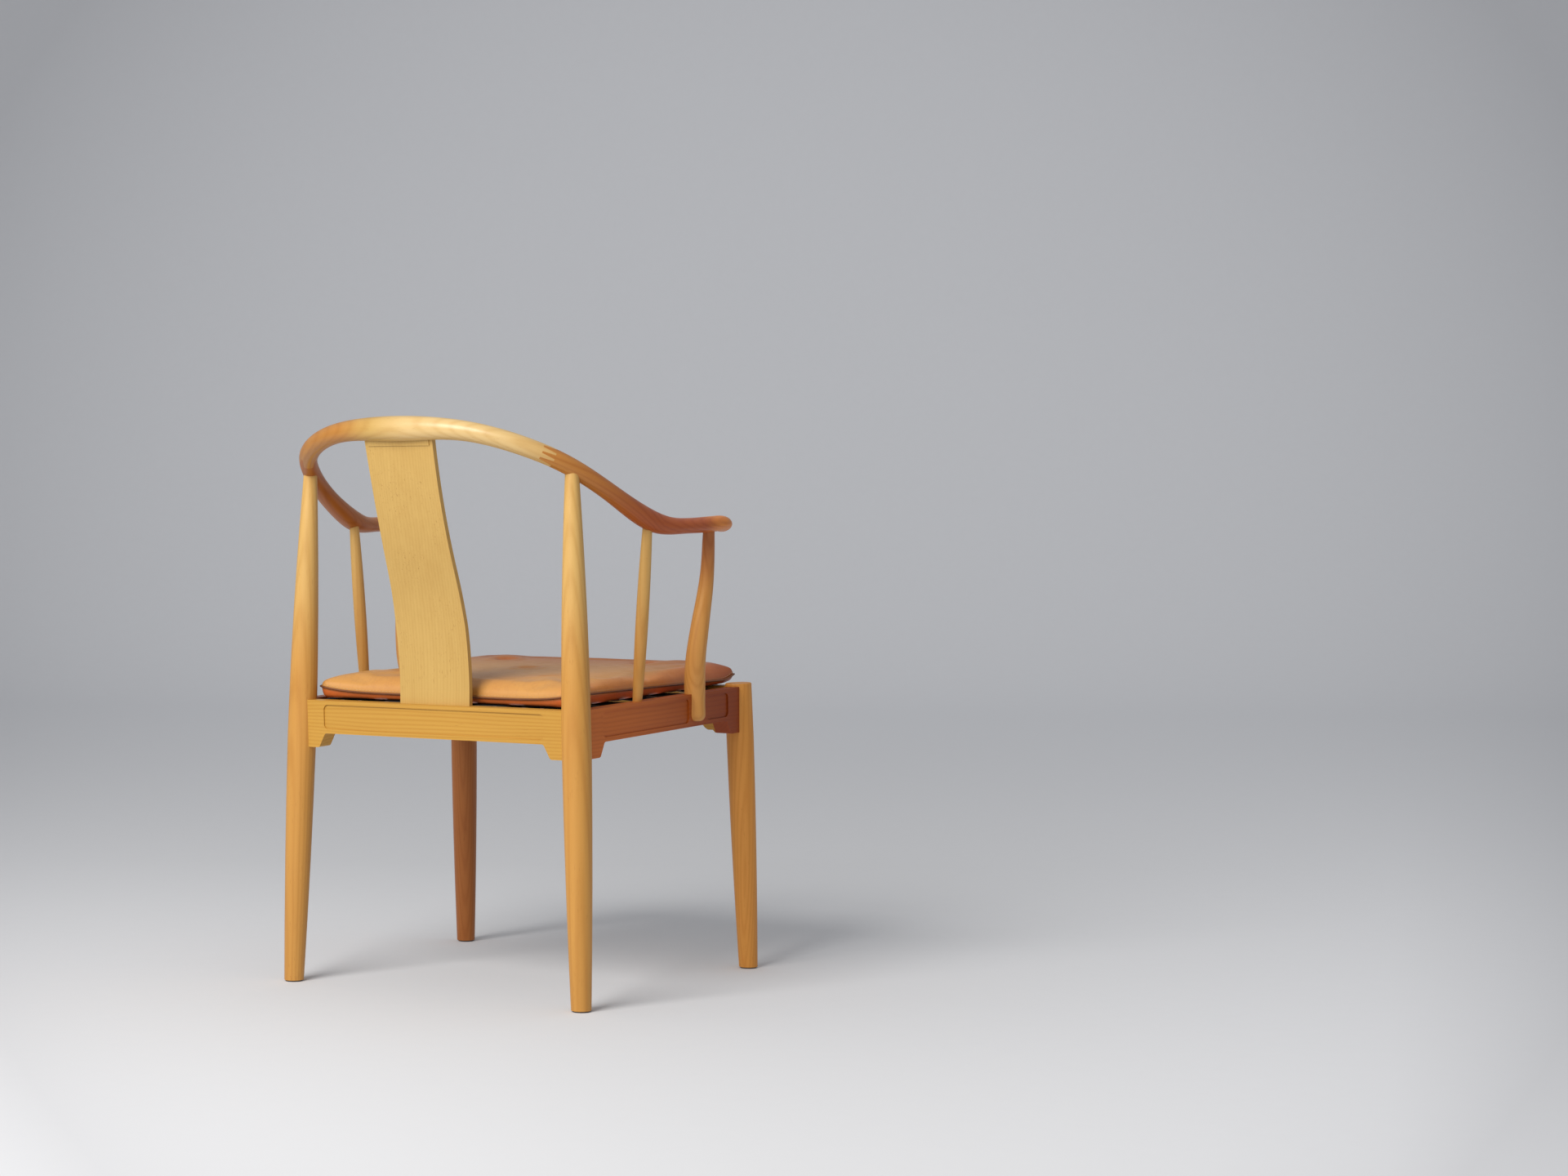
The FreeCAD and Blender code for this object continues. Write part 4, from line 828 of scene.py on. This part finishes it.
def stitch_tree(material):
    """Sets a small capsule at even steps along a line."""
    tree = bpy.data.node_groups.new("stitches", "GeometryNodeTree")
    tree.interface.new_socket("Geometry", in_out="INPUT", socket_type="NodeSocketGeometry")
    for name in ("Pitch", "Length", "Radius"):
        tree.interface.new_socket(name, in_out="INPUT", socket_type="NodeSocketFloat")
    tree.interface.new_socket("Geometry", in_out="OUTPUT", socket_type="NodeSocketGeometry")

    def add(kind, **sockets):
        made = tree.nodes.new(kind)
        for key, value in sockets.items():
            target = made.inputs[key.replace("_", " ")]
            if isinstance(value, bpy.types.NodeSocket):
                tree.links.new(value, target)
            else:
                target.default_value = value
        return made

    given = add("NodeGroupInput").outputs
    curve = add("GeometryNodeMeshToCurve", Mesh=given["Geometry"])
    points = tree.nodes.new("GeometryNodeCurveToPoints")
    points.mode = "LENGTH"
    tree.links.new(curve.outputs["Curve"], points.inputs["Curve"])
    tree.links.new(given["Pitch"], points.inputs["Length"])
    half = tree.nodes.new("ShaderNodeMath")
    half.operation = "DIVIDE"
    tree.links.new(given["Length"], half.inputs[0])
    half.inputs[1].default_value = 2.0
    size = add("ShaderNodeCombineXYZ", X=given["Radius"], Y=given["Radius"], Z=half.outputs[0])
    bead = add("GeometryNodeMeshUVSphere", Segments=8, Rings=6, Radius=1.0)
    placed = add("GeometryNodeInstanceOnPoints", Points=points.outputs["Points"],
                 Instance=bead.outputs["Mesh"], Rotation=points.outputs["Rotation"],
                 Scale=size.outputs["Vector"])
    real = add("GeometryNodeRealizeInstances", Geometry=placed.outputs["Instances"])
    dressed = add("GeometryNodeSetMaterial", Geometry=real.outputs["Geometry"])
    dressed.inputs["Material"].default_value = material
    add("NodeGroupOutput", Geometry=dressed.outputs["Geometry"])
    return tree


def set_inputs(modifier, values):
    """Set a modifier's inputs by their names."""
    for item in modifier.node_group.interface.items_tree:
        if item.in_out == "INPUT" and item.name in values:
            modifier[item.identifier] = values[item.name]


thread_material = thread()
stitches = shown("seam_stitches", stitch_line(), thread_material)
stitching = stitches.modifiers.new("stitches", "NODES")
stitching.node_group = stitch_tree(thread_material)
set_inputs(stitching, {"Pitch": stitch_pitch, "Length": stitch_length, "Radius": thread_radius})
stitch_data = plain_mesh(stitches)
stitches.modifiers.remove(stitching)
stitches.data = stitch_data
stitch_data.shade_smooth()
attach(stitches, "seat_cushion")

# Floor and backdrop: one seamless sheet of pale paper that curves up far behind.
view_right = Vector((-0.87095, -0.49138, 0))
view_ahead = Vector((0.49138, -0.87095, 0))
eye = Vector((-2.1621, 3.2751, 0.63874))
floor_near, floor_far = -7.0, 6.5
bend_height, wall_height = 3.0, 9.0
half_columns, column_width = 6, 2.0


def backdrop_mesh():
    mesh = bmesh.new()
    profile = [(floor_near, 0.0), (-2.0, 0.0), (2.0, 0.0), (floor_far, 0.0)]
    for step in range(1, 13):
        angle = math.radians(90) * step / 12
        profile.append((floor_far + bend_height * math.sin(angle), bend_height * (1 - math.cos(angle))))
    profile.append((floor_far + bend_height, wall_height))
    rows = []
    for ahead, up in profile:
        spots = [view_right * side * column_width + view_ahead * ahead
                 for side in range(-half_columns, half_columns + 1)]
        rows.append([mesh.verts.new((spot.x, spot.y, up)) for spot in spots])
    for near, far in zip(rows, rows[1:]):
        for number in range(2 * half_columns):
            mesh.faces.new((near[number], near[number + 1], far[number + 1], far[number]))
    return mesh_data("backdrop", mesh)


def paper():
    """Pale paper with painted shade: greyer towards the sides and up the back, darker on the near floor.
    """
    graph = Graph("backdrop paper")
    place = graph.place()
    right, forth, up = graph.parts(place)
    side = (right * view_right.x + forth * view_right.y) - eye.dot(view_right)
    depth = (right * view_ahead.x + forth * view_ahead.y) - eye.dot(view_ahead)
    depth = depth.math("MAXIMUM", 1.0)
    sway = side / depth - 0.0333
    lift = (up - eye.z) / depth + 0.02
    # Painted shade: greyer away from the middle of the view.
    off = ((sway * sway + lift * lift) / 0.113) ** 2.0
    tone = graph.ramp(off, (0.0, (0.97, 0.972, 0.985)), (1.0, (0.73, 0.733, 0.75)))
    spread = (1.0 - (sway + 0.06) ** 2.0 * 12.0).math("MAXIMUM", 0.0)
    # Painted shade on the near floor.
    near = graph.ramp(lift * -10.0, (0.4, 0.0), (1.1, 1.0)) * spread
    tone = graph.mix(near, tone, (0.79, 0.79, 0.79), "MULTIPLY")
    fine = graph.noise(place, 30.0)
    linked = {
        "Base Color": graph.mix(fine * 0.03, tone, (0.4, 0.4, 0.42)),
        "Roughness": fine * 0.1 + 0.8,
    }
    return graph.finish(linked, {"Specular IOR Level": 0.1})


backdrop = shown("backdrop", backdrop_mesh(), paper())

# Studio light: one large soft lamp behind the chair's back, beyond the camera's left, with
# an even pale fill. It leaves the chair's right side and the legs under the seat in shade.
lamp_data = bpy.data.lights.new("key lamp", "AREA")
lamp_data.shape = "DISK"
lamp_data.size = 2.2
lamp_data.energy = 130.0
lamp_data.color = (1.0, 0.985, 0.96)
lamp = bpy.data.objects.new("key lamp", lamp_data)
lamp.location = (0.15, 3.05, 2.55)
aim = Vector((0, 0, 0.35)) - lamp.location
lamp.rotation_euler = aim.to_track_quat("-Z", "Y").to_euler()
bpy.context.scene.collection.objects.link(lamp)

world = bpy.data.worlds.new("studio")
world.use_nodes = True
world.node_tree.nodes["Background"].inputs["Color"].default_value = (0.94, 0.96, 1.0, 1)
world.node_tree.nodes["Background"].inputs["Strength"].default_value = 0.43
bpy.context.scene.world = world

# Camera: where the photograph was taken from, a little above the arms.
pitch, roll = math.radians(4.819), math.radians(0.438)
photo_width, photo_height = 1920, 1440
focal_pixels = 3300.1
centre_across, centre_down = 850.13, 942.12
upright = Vector((0, 0, 1))
ahead = view_ahead * math.cos(pitch) - upright * math.sin(pitch)
over = view_ahead * math.sin(pitch) + upright * math.cos(pitch)
right = view_right * math.cos(roll) + over * math.sin(roll)
top = over * math.cos(roll) - view_right * math.sin(roll)
camera_data = bpy.data.cameras.new("camera")
camera_data.sensor_width = 36.0
camera_data.lens = camera_data.sensor_width * focal_pixels / photo_width
camera_data.shift_x = (photo_width / 2 - centre_across) / photo_width
camera_data.shift_y = (centre_down - photo_height / 2) / photo_width
camera_data.clip_end = 60.0
camera = bpy.data.objects.new("camera", camera_data)
camera.matrix_world = Matrix((
    (right.x, top.x, -ahead.x, eye.x),
    (right.y, top.y, -ahead.y, eye.y),
    (right.z, top.z, -ahead.z, eye.z),
    (0, 0, 0, 1),
))
bpy.context.scene.collection.objects.link(camera)
bpy.context.scene.camera = camera
bpy.context.scene.view_settings.view_transform = "Standard"
